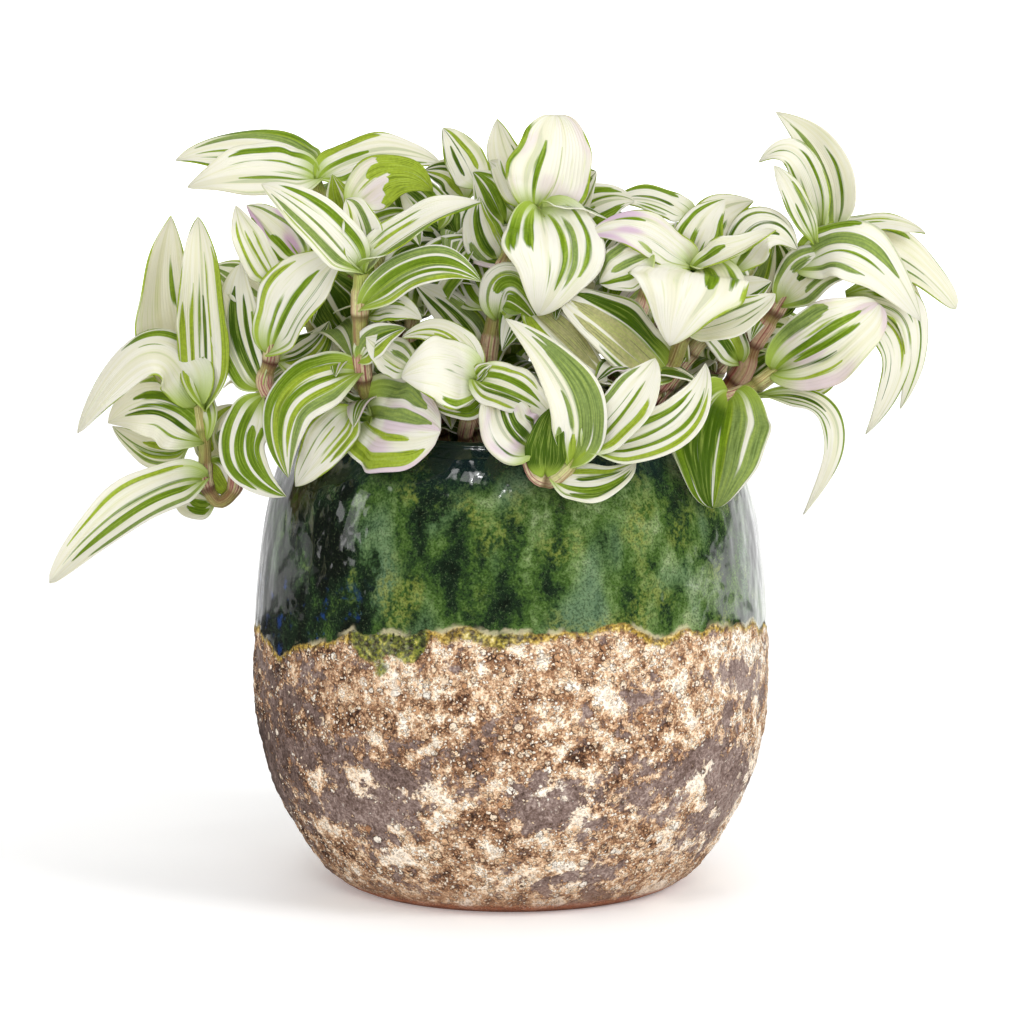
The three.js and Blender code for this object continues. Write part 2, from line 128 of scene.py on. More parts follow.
class Graph:
    """Adds nodes to one shader tree, and links them."""

    def __init__(self, tree: bpy.types.NodeTree) -> None:
        """Keeps the tree that the nodes go in."""
        self.tree = tree

    def put(self, socket: Socket, value: Value) -> None:
        """Feeds a socket.

        Args:
            socket: The socket.
            value: Another socket, a number, a vector or a screen colour.
        """
        if isinstance(value, bpy.types.NodeSocket):
            self.tree.links.new(value, socket)
        else:
            socket.default_value = hexadecimal(value) if isinstance(value, str) else value

    def fill(self, node: bpy.types.Node, inputs: Inputs) -> None:
        """Puts values in a node's sockets, by their names or numbers."""
        for name, value in inputs.items():
            self.put(node.inputs[name], value)

    def add(self, kind: str, inputs: Inputs | None = None, **settings: object) -> bpy.types.Node:
        """Adds one node.

        Args:
            kind: The node's type name.
            inputs: What goes in each of its sockets, by name or number.
            **settings: The node's own options.

        Returns:
            The node.
        """
        node = self.tree.nodes.new(kind)
        for name, setting in settings.items():
            setattr(node, name, setting)
        self.fill(node, inputs or {})
        return node

    def math(self, operation: str, first: Value, second: Value = 0.0) -> Socket:
        """Adds a Math node and returns its value."""
        return self.add("ShaderNodeMath", {0: first, 1: second}, operation=operation).outputs[0]

    def plus(self, *terms: Value) -> Socket:
        """Returns a sum."""
        return reduce(partial(self.math, "ADD"), terms)

    def times(self, *factors: Value) -> Socket:
        """Returns a product."""
        return reduce(partial(self.math, "MULTIPLY"), factors)

    def minus(self, first: Value, second: Value) -> Socket:
        """Returns a difference."""
        return self.math("SUBTRACT", first, second)

    def blend(self, share: Value, low: Value, high: Value) -> Socket:
        """Returns a number between two others."""
        return self.add("ShaderNodeMix", {0: share, 2: low, 3: high}, data_type="FLOAT").outputs[0]

    def scale(self, vector: Value, by: Sequence[float]) -> Socket:
        """Returns a vector multiplied by three numbers."""
        return self.add("ShaderNodeVectorMath", {0: vector, 1: by}, operation="MULTIPLY").outputs[0]

    def shift(self, vector: Value, by: Value) -> Socket:
        """Returns a vector moved by another."""
        return self.add("ShaderNodeVectorMath", {0: vector, 1: by}, operation="ADD").outputs[0]

    def vector(self, x: Value, y: Value, z: Value) -> Socket:
        """Returns a vector made of three values."""
        return self.add("ShaderNodeCombineXYZ", {0: x, 1: y, 2: z}).outputs[0]

    def parts(self, vector: Value) -> bpy.types.NodeOutputs:
        """Returns the three values of a vector."""
        return self.add("ShaderNodeSeparateXYZ", {0: vector}).outputs

    def place(self) -> Socket:
        """Returns the place on the piece, in metres."""
        return self.add("ShaderNodeTexCoord").outputs["Object"]

    def noise(
        self, vector: Value, scale: float, detail: float = 2.0, rough: float = 0.5, bend: float = 0.0
    ) -> Socket:
        """Returns a cloud noise between 0 and 1."""
        inputs = {"Vector": vector, "Scale": scale, "Detail": detail, "Roughness": rough, "Distortion": bend}
        return self.add("ShaderNodeTexNoise", inputs).outputs[0]

    def step(self, value: Value, low: float, high: float, first: float = 0.0, last: float = 1.0) -> Socket:
        """Returns a number that goes smoothly from first to last while a value goes from low to high."""
        inputs = {"Value": value, "From Min": low, "From Max": high, "To Min": first, "To Max": last}
        return self.add("ShaderNodeMapRange", inputs, interpolation_type="SMOOTHSTEP").outputs[0]

    def mix(self, share: Value, low: Value, high: Value, how: str = "MIX") -> Socket:
        """Mixes two colours.

        Args:
            share: How much there is of the second, from 0 to 1.
            low: The first colour.
            high: The second colour.
            how: The way of blending.

        Returns:
            The mixed colour.
        """
        node = self.add("ShaderNodeMix", data_type="RGBA", blend_type=how)
        for name, value in (("Factor_Float", share), ("A_Color", low), ("B_Color", high)):
            self.put(next(socket for socket in node.inputs if socket.identifier == name), value)
        return next(socket for socket in node.outputs if socket.identifier == "Result_Color")

    def ramp(self, value: Value, *stops: tuple[float, str]) -> Socket:
        """Runs a value through a ramp of colours.

        Args:
            value: The place on the ramp.
            *stops: The place and screen colour of each stop.

        Returns:
            The colour.
        """
        node = self.add("ShaderNodeValToRGB", {0: value})
        elements = node.color_ramp.elements
        while len(elements) < len(stops):
            elements.new(0.5)
        for element, (place, code) in zip(elements, stops):
            element.position = place
            element.color = hexadecimal(code)
        return node.outputs[0]

    def attribute(self, name: str) -> Socket:
        """Returns one number that the mesh holds at each point."""
        return self.add("ShaderNodeAttribute", attribute_name=name).outputs["Fac"]

    def bump(self, height: Value, distance: float, strength: float = 1.0) -> Socket:
        """Returns a normal that stands up with height, in metres of distance."""
        inputs = {"Height": height, "Distance": distance, "Strength": strength}
        return self.add("ShaderNodeBump", inputs).outputs[0]


class Effect:
    """A shader node group that more than one material uses."""

    def __init__(self, name: str, inputs: dict[str, str], outputs: Sequence[str]) -> None:
        """Makes the empty group.

        Args:
            name: The group's name.
            inputs: Each input's kind of socket, by name.
            outputs: The names of the numbers that it puts out.
        """
        self.tree = bpy.data.node_groups.new(name, "ShaderNodeTree")
        for label, kind in inputs.items():
            self.tree.interface.new_socket(name=label, in_out="INPUT", socket_type=f"NodeSocket{kind}")
        for label in outputs:
            self.tree.interface.new_socket(name=label, in_out="OUTPUT", socket_type="NodeSocketFloat")
        self.graph = Graph(self.tree)
        self.given = self.graph.add("NodeGroupInput").outputs
        self.result = self.graph.add("NodeGroupOutput")

    def use(self, graph: Graph, inputs: Inputs) -> bpy.types.NodeOutputs:
        """Places the group in a material, fills its inputs and returns its outputs."""
        return graph.add("ShaderNodeGroup", inputs, node_tree=self.tree).outputs


def vein_effect() -> Effect:
    """Fine parallel veins that run along a leaf or a stem.

    Returns:
        A group from a surface map, a seed and a count to a broad streak, a fine streak and a height.
    """
    inputs = {"Map": "Vector", "Seed": "Float", "Count": "Float"}
    effect = Effect("ParallelVeins", inputs, ("Broad", "Fine", "Height"))
    graph, given = effect.graph, effect.given
    over, along, _ = graph.parts(given["Map"])
    across = graph.times(over, given["Count"])
    place = graph.vector(across, graph.times(along, 2.2), graph.times(given["Seed"], 31.0))
    ridges = graph.math("ABSOLUTE", graph.math("SINE", graph.times(across, 3.1)))
    fine = graph.noise(graph.scale(place, (1.0, 0.8, 1.0)), 1.5, 1.0, 0.6)
    graph.fill(effect.result, {"Broad": graph.noise(place, 0.45, 0.0), "Fine": fine, "Height": ridges})
    return effect


def grain_effect() -> Effect:
    """A fine grain in the body of a surface.

    Returns:
        A group from a place and a scale to a speckle and a height.
    """
    effect = Effect("FineGrain", {"Place": "Vector", "Scale": "Float"}, ("Speckle", "Height"))
    graph, given = effect.graph, effect.given
    scaled = graph.add("ShaderNodeVectorMath", {0: given["Place"], 3: given["Scale"]}, operation="SCALE")
    speckle = graph.noise(scaled.outputs[0], 1.0, 1.5, 0.7)
    graph.fill(effect.result, {"Speckle": speckle, "Height": graph.times(speckle, 1.4)})
    return effect


@dataclass(frozen=True)
class Finish:
    """What every material shares: a name, the record's slot and the constants of its shader."""

    name: str
    slot: str
    roughness: float = 0.5
    specular: float = 0.5
    coat: float = 0.0
    coat_roughness: float = 0.05

    def start(self) -> tuple[bpy.types.Material, Graph, bpy.types.Node]:
        """Makes the material.

        Returns:
            The material, its graph and its Principled shader with the constants set.
        """
        material = bpy.data.materials.new(self.name)
        material.use_nodes = True
        graph = Graph(material.node_tree)
        shader = material.node_tree.nodes["Principled BSDF"]
        graph.fill(shader, {"Roughness": self.roughness, "Specular IOR Level": self.specular})
        graph.fill(shader, {"Coat Weight": self.coat, "Coat Roughness": self.coat_roughness})
        return material, graph, shader

    def make(self, veins: Effect, grain: Effect) -> bpy.types.Material:
        """Builds the material.

        Args:
            veins: The shared vein group.
            grain: The shared grain group.

        Returns:
            The material.
        """
        raise NotImplementedError


@dataclass(frozen=True)
class TissueFinish(Finish):
    """What the finishes of leaves and stems share: veins that run along them and a fine grain."""

    VEINS = 22.0
    GRAIN = 900.0

    def tissue(self, graph: Graph, veins: Effect, grain: Effect) -> tuple[bpy.types.NodeOutputs, Socket]:
        """Places both shared groups in a material.

        Args:
            graph: The material's graph.
            veins: The shared vein group.
            grain: The shared grain group.

        Returns:
            The veins' outputs and the grain's speckle.
        """
        surface = graph.add("ShaderNodeUVMap", uv_map="UVMap").outputs[0]
        vein = veins.use(graph, {"Map": surface, "Seed": graph.attribute("seed"), "Count": self.VEINS})
        return vein, grain.use(graph, {"Place": graph.place(), "Scale": self.GRAIN})["Speckle"]


@dataclass(frozen=True)
class LeafFinish(TissueFinish):
    """A striped leaf face: white and cream with parallel green stripes."""

    pale: str = "F6F4EC"
    shade: str = "F0EEDA"
    wash: float = 0.0

    RELIEF = 0.00016
    SEE_THROUGH = 0.29
    # The colour of each green, at its place
    GREENS = (0.0, "4E6E06"), (0.25, "7C9C18"), (0.5, "ABC036"), (0.75, "90A65A"), (1.0, "C8C48C")

    def make(self, veins: Effect, grain: Effect) -> bpy.types.Material:
        """Builds the material.

        Args:
            veins: The shared vein group.
            grain: The shared grain group.

        Returns:
            The material.
        """
        material, graph, shader = self.start()
        vein, speckle = self.tissue(graph, veins, grain)
        broad, fine = vein["Broad"], vein["Fine"]
        ragged = graph.plus(graph.times(fine, 0.11), graph.times(broad, 0.13))
        stripe = graph.step(graph.plus(graph.attribute("paint"), graph.minus(ragged, 0.12)), -0.012, 0.03)
        thin = graph.times(graph.step(broad, 0.67, 0.73, 0.0, 0.55), graph.attribute("streaks"))
        greens = graph.ramp(graph.attribute("hue"), *self.GREENS)
        greens = graph.mix(graph.step(fine, 0.50, 0.66, 0.0, 0.38), greens, "C2D666")
        greens = graph.mix(graph.step(fine, 0.46, 0.34, 0.0, 0.45), greens, "3E5C04")
        greens = graph.mix(graph.step(speckle, 0.40, 0.60, 0.16, 0.0), greens, "33520E")
        pale = graph.mix(graph.step(broad, 0.44, 0.68), self.pale, self.shade)
        pale = graph.mix(graph.step(fine, 0.58, 0.72, 0.0, 0.30), pale, "D2DE8A")
        pale = graph.mix(graph.attribute("blush"), pale, "DDBBDD")
        colour = graph.mix(graph.math("MAXIMUM", stripe, thin), pale, greens)
        # painted glow: a lime wash at each leaf's base stands for light shining through the leaf there
        colour = graph.mix(graph.attribute("painted_base_glow"), colour, "B4CC50")
        if self.wash:
            colour = graph.mix(self.wash, colour, "DDDDB8")
        rough = graph.step(fine, 0.3, 0.7, self.roughness - 0.07, self.roughness + 0.1)
        bump = graph.bump(vein["Height"], self.RELIEF, 0.6)
        graph.fill(shader, {"Base Color": colour, "Roughness": rough, "Normal": bump})
        sunny = graph.mix(1.0, colour, "FCFBCC", "MULTIPLY")
        glow = graph.add("ShaderNodeBsdfTranslucent", {"Color": sunny}).outputs[0]
        both = graph.add("ShaderNodeMixShader", {0: self.SEE_THROUGH, 1: shader.outputs[0], 2: glow})
        graph.fill(material.node_tree.nodes["Material Output"], {"Surface": both.outputs[0]})
        return material


@dataclass(frozen=True)
class StemFinish(TissueFinish):
    """A stem: olive and brown between its nodes, with pale veined sheaths and dark rings."""

    VEINS = 18.0
    GRAIN = 700.0
    RELIEF = 0.0003

    def make(self, veins: Effect, grain: Effect) -> bpy.types.Material:
        """Builds the material.

        Args:
            veins: The shared vein group.
            grain: The shared grain group.

        Returns:
            The material.
        """
        material, graph, shader = self.start()
        vein, speckle = self.tissue(graph, veins, grain)
        fine, age = vein["Fine"], graph.attribute("age")
        flesh = graph.ramp(vein["Broad"], (0.30, "A4A858"), (0.5, "9A8A54"), (0.70, "8E5E44"))
        flesh = graph.mix(age, flesh, "854C32")
        flesh = graph.mix(graph.step(fine, 0.4, 0.7, 0.0, 0.45), flesh, "C2B878")
        sheath = graph.ramp(fine, (0.36, "9A5A56"), (0.44, "CBA08E"), (0.54, "DFCBA8"), (0.72, "C8CC88"))
        sheath = graph.mix(graph.times(age, 0.5), sheath, "9C5A3E")
        colour = graph.mix(graph.attribute("sheath"), flesh, sheath)
        colour = graph.mix(graph.attribute("ring"), colour, "5A2C22")
        colour = graph.mix(graph.step(speckle, 0.5, 0.7, 0.0, 0.25), colour, "5E4630")
        colour = graph.mix(graph.attribute("young"), colour, "B4C65C")
        rough = graph.step(fine, 0.3, 0.7, 0.42, 0.62)
        bump = graph.bump(vein["Height"], self.RELIEF, 0.7)
        graph.fill(shader, {"Base Color": colour, "Roughness": rough, "Normal": bump})
        return material


@dataclass(frozen=True)
class PotFinish(Finish):
    """The outside of the pot: mottled green glaze over a rough, crusted lower half."""

    GRAIN = 620.0
    FINE_GRAIN = 1500.0
    CLEAR_COAT = 0.5
    # Beads in a metre, the share of places that hold one, and how far they rise
    BEADS = (340.0, 0.40, 2.0), (900.0, 0.90, 1.0)
    # The least and the most roughness of the beads, of the slip and of the glaze
    ROUGHNESSES = (0.66, 0.95), (0.36, 0.55), (0.06, 0.13)

    def glaze(self, graph: Graph, place: Socket, speckle: Socket, fine: Socket) -> Socket:
        """Colours the glaze: green clouds, dark streaks, milky, rusty and blue patches, and painted shade on
        the left side.

        Args:
            graph: The material's graph.
            place: The place on the pot, in metres.
            speckle: The shared speckle.
            fine: A finer noise.

        Returns:
            Its colour.
        """
        x, _, z = graph.parts(place)
        runny = graph.scale(place, (1.0, 1.0, 0.6))
        broad = graph.noise(runny, 34.0, 1.0, 0.5, 0.3)
        cloud = graph.noise(graph.shift(runny, (0.3, 0.1, 0.2)), 105.0, 2.5, 0.6, 0.3)
        tone = graph.plus(
            graph.times(broad, 0.4),
            graph.times(cloud, 0.6),
            graph.times(graph.minus(speckle, 0.5), 0.22),
            # painted shade: these two steps darken the glaze towards its left side, away from the key lamp
            graph.step(x, -0.062, -0.033, -0.112, 0.0),
            graph.step(x, -0.045, -0.025, 0.0, 0.035),
            graph.step(z, 0.124, 0.146, 0.0, -0.06),
        )
        darks = (0.34, "090F09"), (0.42, "182818"), (0.475, "2B421E")
        colour = graph.ramp(tone, *darks, (0.53, "435E26"), (0.61, "667F48"), (0.74, "A0AF80"))
        milky = graph.noise(graph.shift(runny, (0.7, 0.4, 0.9)), 52.0, 1.0, 0.5, 0.2)
        milky = graph.times(graph.step(milky, 0.50, 0.70, 0.0, 0.5), graph.step(tone, 0.44, 0.53))
        colour = graph.mix(milky, colour, "667F6C")
        rust = graph.noise(graph.shift(place, (0.9, 0.2, 0.4)), 60.0, 1.0)
        rust = graph.times(graph.step(rust, 0.50, 0.68, 0.0, 0.55), graph.step(speckle, 0.40, 0.58))
        rust = graph.times(rust, graph.step(tone, 0.44, 0.55))
        colour = graph.mix(rust, colour, "858A3C")
        colour = graph.mix(graph.step(fine, 0.54, 0.36, 0.0, 0.5), colour, "0D1A0A")
        colour = graph.mix(graph.step(fine, 0.58, 0.76, 0.0, 0.12), colour, "A0B27E")
        colour = graph.mix(graph.step(z, 0.134, 0.147, 0.0, 0.6), colour, "0C2226")
        blue = graph.noise(graph.shift(place, (0.1, 0.9, 0.5)), 130.0, 3.0, 0.7)
        blue = graph.times(graph.step(blue, 0.56, 0.70, 0.0, 0.7), graph.step(x, -0.040, -0.052))
        blue = graph.times(blue, graph.step(z, 0.112, 0.100))
        return graph.mix(blue, colour, "1A3A7C")

    def beads(self, graph: Graph, place: Socket, scale: float, dense: Socket) -> tuple[Socket, ...]:
        """Scatters round beads of mixed sizes.

        Args:
            graph: The material's graph.
            place: The place on the pot, in metres.
            scale: How many beads there is room for in a metre.
            dense: The share of places that hold a bead.

        Returns:
            Where the beads are, the shadow round them, their height in cells and a number of each one's own.
        """
        cell = graph.add("ShaderNodeTexVoronoi", {"Vector": place, "Scale": scale}).outputs
        chance, growth, tint = graph.add("ShaderNodeSeparateColor", {0: cell["Color"]}).outputs
        size = graph.plus(graph.times(growth, 0.30), 0.24)
        dome = graph.minus(size, cell["Distance"])
        pick = graph.step(graph.minus(dense, chance), -0.02, 0.02)
        top = graph.math("SQRT", graph.math("MAXIMUM", graph.times(dome, size), 0.0))
        bead = graph.times(graph.step(dome, -0.02, 0.08), pick)
        return bead, graph.times(graph.step(dome, -0.20, 0.0), pick), graph.times(top, pick), tint

    def crust(self, graph: Graph, place: Socket, sand: Socket, fine: Socket) -> tuple[Socket, ...]:
        """Builds the rough lower half: a dull slip that is grown over by clumps of pale beads.

        Args:
            graph: The material's graph.
            place: The place on the pot, in metres.
            sand: The shared speckle.
            fine: A finer noise.

        Returns:
            Its colour, its height in millimetres and how far the clumps cover it.
        """
        z = graph.parts(place)[2]
        ragged = graph.noise(place, 230.0, 3.0, 0.7)
        loose = graph.times(graph.minus(ragged, 0.5), 2.6)
        grown = graph.plus(graph.attribute("cover"), loose)
        clump = graph.step(grown, 0.30, 0.62)
        # the lightness carries painted shade on the left side and a painted highlight on the right
        light = graph.times(graph.attribute("bright"), 0.10)
        pale = graph.plus(graph.attribute("white"), graph.times(loose, 0.55))
        halo = graph.step(pale, -0.10, 0.85)
        pale = graph.times(graph.step(pale, 0.35, 1.0), clump)
        grit = graph.plus(graph.times(sand, 0.5), graph.times(fine, 0.5))
        slip = graph.ramp(
            graph.plus(grit, light), (0.32, "4E3B33"), (0.46, "735D54"), (0.55, "88726A"), (0.70, "B09C92")
        )
        body = graph.plus(graph.times(ragged, 0.55), graph.times(grit, 0.45), light, graph.times(halo, 0.12))
        darks = (0.39, "3A2114"), (0.45, "6C4930"), (0.51, "9B7252")
        body = graph.ramp(body, *darks, (0.57, "D1AA85"), (0.64, "F6DDBE"), (0.72, "FFF6E8"))
        colour = graph.mix(clump, slip, body)
        dense = graph.step(grown, 0.05, 0.95)
        wobble = graph.scale(graph.vector(sand, fine, ragged), (0.0014, 0.0014, 0.0014))
        bead_place = graph.shift(place, wobble)
        raised = graph.step(grown, 0.30, 0.62, 0.45, 1.0)
        height = graph.times(graph.plus(graph.times(ragged, 1.1), sand), 0.5, raised)
        for scale, share, rise in self.BEADS:
            held = graph.times(graph.plus(dense, 0.03), share)
            bead, shadow, tall, tint = self.beads(graph, bead_place, scale, held)
            tint = graph.plus(tint, graph.times(halo, 0.45))
            tint = graph.ramp(tint, (0.0, "A9764F"), (0.30, "D6A87E"), (0.60, "F1D3AE"), (1.0, "FFF6E8"))
            colour = graph.mix(bead, graph.mix(graph.times(shadow, 0.7), colour, "3C2519"), tint)
            height = graph.plus(height, graph.times(tall, rise))
        frost = graph.times(graph.step(pale, 0.1, 1.0, 0.0, 0.8), graph.step(grit, 0.42, 0.54, 0.2, 1.0))
        colour = graph.mix(frost, colour, "FFECD4")
        colour = graph.mix(graph.step(z, 0.014, 0.003, 0.0, 0.45), colour, "9A7256")
        return graph.mix(graph.step(z, 0.0045, 0.0015, 0.0, 0.8), colour, "A8603E"), height, clump

    def gold(self, graph: Graph, speckle: Socket, olive: Socket) -> Socket:
        """Colours the grains under the glaze: yellow, and green where they reach far.

        Args:
            graph: The material's graph.
            speckle: The shared speckle.
            olive: How far the grains reach, in millimetres.

        Returns:
            Their colour.
        """
        yellow = (0.34, "3A300C"), (0.46, "80691A"), (0.56, "B59632"), (0.66, "DDBF66"), (0.78, "F6E8B8")
        green = (0.34, "1C2608"), (0.46, "46541A"), (0.56, "6D7A26"), (0.66, "99992E"), (0.78, "CFC56E")
        far = graph.step(olive, 3.0, 6.0)
        return graph.mix(far, graph.ramp(speckle, *yellow), graph.ramp(speckle, *green))

    def make(self, veins: Effect, grain: Effect) -> bpy.types.Material:
        """Builds the material.

        Args:
            veins: The shared vein group, which this one leaves out.
            grain: The shared grain group.

        Returns:
            The material.
        """
        material, graph, shader = self.start()
        place, olive = graph.place(), graph.attribute("olive")
        speckle = grain.use(graph, {"Place": place, "Scale": self.GRAIN})["Speckle"]
        edge = graph.plus(graph.attribute("above"), graph.times(graph.minus(speckle, 0.5), 2.4))
        glazed = graph.step(edge, -0.4, 0.4)
        fine = graph.noise(place, self.FINE_GRAIN, 1.0, 0.7)
        crust, height, clump = self.crust(graph, place, speckle, fine)
        below = graph.step(graph.plus(edge, olive), -1.2, 0.8, 0.0, 0.88)
        crust = graph.mix(below, crust, self.gold(graph, speckle, olive))
        colour = graph.mix(glazed, crust, self.glaze(graph, place, speckle, fine))
        seam = graph.times(
            graph.step(edge, -1.0, 0.0),
            graph.step(edge, 1.7, 0.2),
            graph.step(graph.noise(place, 85.0, 1.0), 0.48, 0.62, 0.0, 0.6),
        )
        colour = graph.mix(seam, colour, "D9CDA6")
        dry, dull, wet = (graph.step(speckle, 0.3, 0.7, *ends) for ends in self.ROUGHNESSES)
        rough = graph.blend(glazed, graph.blend(clump, dull, dry), wet)
        ripple = graph.noise(graph.scale(place, (1.0, 1.0, 0.7)), 110.0, 1.5, 0.5)
        relief = graph.plus(graph.times(ripple, 1.5, glazed), graph.times(height, graph.minus(1.0, glazed)))
        graph.fill(shader, {"Base Color": colour, "Roughness": rough, "Normal": graph.bump(relief, MM)})
        graph.fill(shader, {"Coat Weight": graph.times(glazed, self.CLEAR_COAT)})
        return material


@dataclass(frozen=True)
class LiningFinish(Finish):
    """The inside of the pot: dark brown glaze."""

    GRAIN = 240.0
    TONES = (0.3, "1A0E09"), (0.5, "3A2014"), (0.7, "5A3A22")

    def make(self, veins: Effect, grain: Effect) -> bpy.types.Material:
        """Builds the material.

        Args:
            veins: The shared vein group, which this one leaves out.
            grain: The shared grain group.

        Returns:
            The material.
        """
        material, graph, shader = self.start()
        place = graph.place()
        speck = grain.use(graph, {"Place": place, "Scale": self.GRAIN})
        colour = graph.ramp(graph.noise(place, 40.0, 4.0, 0.6), *self.TONES)
        colour = graph.mix(graph.step(speck["Speckle"], 0.55, 0.7, 0.0, 0.5), colour, "7A5A3A")
        rough = graph.step(speck["Speckle"], 0.3, 0.7, 0.10, 0.26)
        bump = graph.bump(speck["Height"], 0.0004, 0.4)
        graph.fill(shader, {"Base Color": colour, "Roughness": rough, "Normal": bump})
        return material


@dataclass(frozen=True)
class MottledFinish(Finish):
    """A grainy surface of two or three tones, such as soil, bark, clay or moulded plastic."""

    tones: tuple[tuple[float, str], ...] = ()
    scale: float = 300.0
    relief: float = 0.0006

    SPREAD = 0.08

    def make(self, veins: Effect, grain: Effect) -> bpy.types.Material:
        """Builds the material.

        Args:
            veins: The shared vein group, which this one leaves out.
            grain: The shared grain group.

        Returns:
            The material.
        """
        material, graph, shader = self.start()
        place = graph.place()
        speck = grain.use(graph, {"Place": place, "Scale": self.scale})
        broad = graph.noise(place, self.scale / 8, 3.0)
        both = graph.plus(graph.times(speck["Speckle"], 0.6), graph.times(broad, 0.4))
        least, most = self.roughness - self.SPREAD, min(self.roughness + self.SPREAD, 1.0)
        rough = graph.step(speck["Speckle"], 0.3, 0.7, least, most)
        bump = graph.bump(speck["Height"], self.relief, 0.8)
        graph.fill(shader, {"Base Color": graph.ramp(both, *self.tones), "Roughness": rough, "Normal": bump})
        return material


class Palette:
    """All the finishes, each built once."""

    FINISHES: dict[str, Finish] = {
        "leaf_upper": LeafFinish("LeafUpper", "plant_leaf", 0.45, 0.32),
        "leaf_under": LeafFinish(
            "LeafUnderside", "plant_leaf", 0.5, 0.3, pale="F6F1DE", shade="E9E6C0", wash=0.15
        ),
        "stem": StemFinish("StemSkin", "plant_stem"),
        "pot": PotFinish("GlazeAndCrust", "glaze", 0.3, coat_roughness=0.03),
        "lining": LiningFinish("BrownLining", "glaze", 0.2, coat=0.6),
        "clay": MottledFinish(
            "BareClayFoot", "glaze", 0.85, tones=((0.3, "5E3B2A"), (0.5, "8A5A42"), (0.7, "A87858")),
            scale=500.0,
        ),
        "nursery": MottledFinish(
            "NurseryPlastic", "nursery_plastic", 0.42, tones=((0.3, "1C1410"), (0.7, "2C211A")), scale=160.0,
            relief=0.0002,
        ),
        "soil": MottledFinish(
            "PottingSoil", "potting_soil", 0.95, tones=((0.3, "16100C"), (0.5, "33251B"), (0.7, "54402E")),
            scale=520.0, relief=0.0016,
        ),
        "bark": MottledFinish(
            "BarkChips", "potting_soil", 0.85, tones=((0.3, "3A2416"), (0.5, "6B4A30"), (0.72, "93704C")),
            scale=700.0,
        ),
        "grit": MottledFinish(
            "PerliteGrit", "potting_soil", 0.8, tones=((0.3, "C8C2B4"), (0.7, "F2EFE6")), scale=900.0
        ),
    }

    def __init__(self) -> None:
        """Builds the shared groups and every material."""
        veins, grain = vein_effect(), grain_effect()
        self.made = {key: finish.make(veins, grain) for key, finish in self.FINISHES.items()}

    def dress(self, piece: bpy.types.Object, *keys: str) -> None:
        """Gives a piece its materials.

        Args:
            piece: The piece.
            *keys: Its finishes, in the order of its material numbers.
        """
        piece.data.materials.clear()
        for key in keys:
            piece.data.materials.append(self.made[key])


def link(name: str, data: bpy.types.ID) -> bpy.types.Object:
    """Puts a mesh, lamp or camera in the scene.

    Args:
        name: The object's name.
        data: What it shows.

    Returns:
        The new object.
    """
    made = bpy.data.objects.new(name, data)
    bpy.context.scene.collection.objects.link(made)
    return made


def mesh_data(name: str, mesh: bmesh.types.BMesh) -> bpy.types.Mesh:
    """Writes a bmesh as a mesh in metres, and frees it.

    Args:
        name: The mesh's name.
        mesh: The bmesh, in millimetres.

    Returns:
        The mesh.
    """
    bmesh.ops.scale(mesh, vec=(MM, MM, MM), verts=mesh.verts)
    data = bpy.data.meshes.new(name)
    mesh.to_mesh(data)
    mesh.free()
    return data


def piece_from(name: str, mesh: bmesh.types.BMesh, flat: bool = False) -> bpy.types.Object:
    """Turns a bmesh into a piece that rides on the plant's body.

    Args:
        name: The piece's name.
        mesh: The mesh in millimetres, which is freed.
        flat: Whether its faces keep sharp edges.

    Returns:
        The new object, at the origin.
    """
    for face in mesh.faces:
        face.smooth = not flat
    piece = link(name, mesh_data(name, mesh))
    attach(piece, BODY)
    return piece


def replace_node(piece: bpy.types.Object) -> None:
    """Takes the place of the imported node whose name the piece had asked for."""
    node = piece.name.removesuffix("_look")
    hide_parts(node)


def values_of(mesh: bmesh.types.BMesh, *keys: str) -> dict[str, bmesh.types.BMLayerItem]:
    """Gives each point of a mesh room for one number under each key."""
    return {key: mesh.verts.layers.float.new(key) for key in keys}


def turned(section: Sequence[tuple[float, float]], steps: int) -> bmesh.types.BMesh:
    """Spins a section once round the upright axis.

    Args:
        section: Its radii and heights, in order.
        steps: How many sides the body gets.

    Returns:
        The body, in millimetres.
    """
    mesh = bmesh.new()
    verts = [mesh.verts.new((radius, 0, height)) for radius, height in section]
    edges = [mesh.edges.new(pair) for pair in zip(verts, verts[1:])]
    bmesh.ops.spin(
        mesh, geom=verts + edges, cent=(0, 0, 0), axis=(0, 0, 1), angle=math.tau, steps=steps, use_merge=True
    )
    bmesh.ops.remove_doubles(mesh, verts=mesh.verts, dist=WELD)
    bmesh.ops.recalc_face_normals(mesh, faces=mesh.faces)
    return mesh


def seeded(name: str) -> random.Random:
    """Returns a random number source of a piece's own, so that each run draws the same."""
    return random.Random(zlib.crc32(name.encode()))


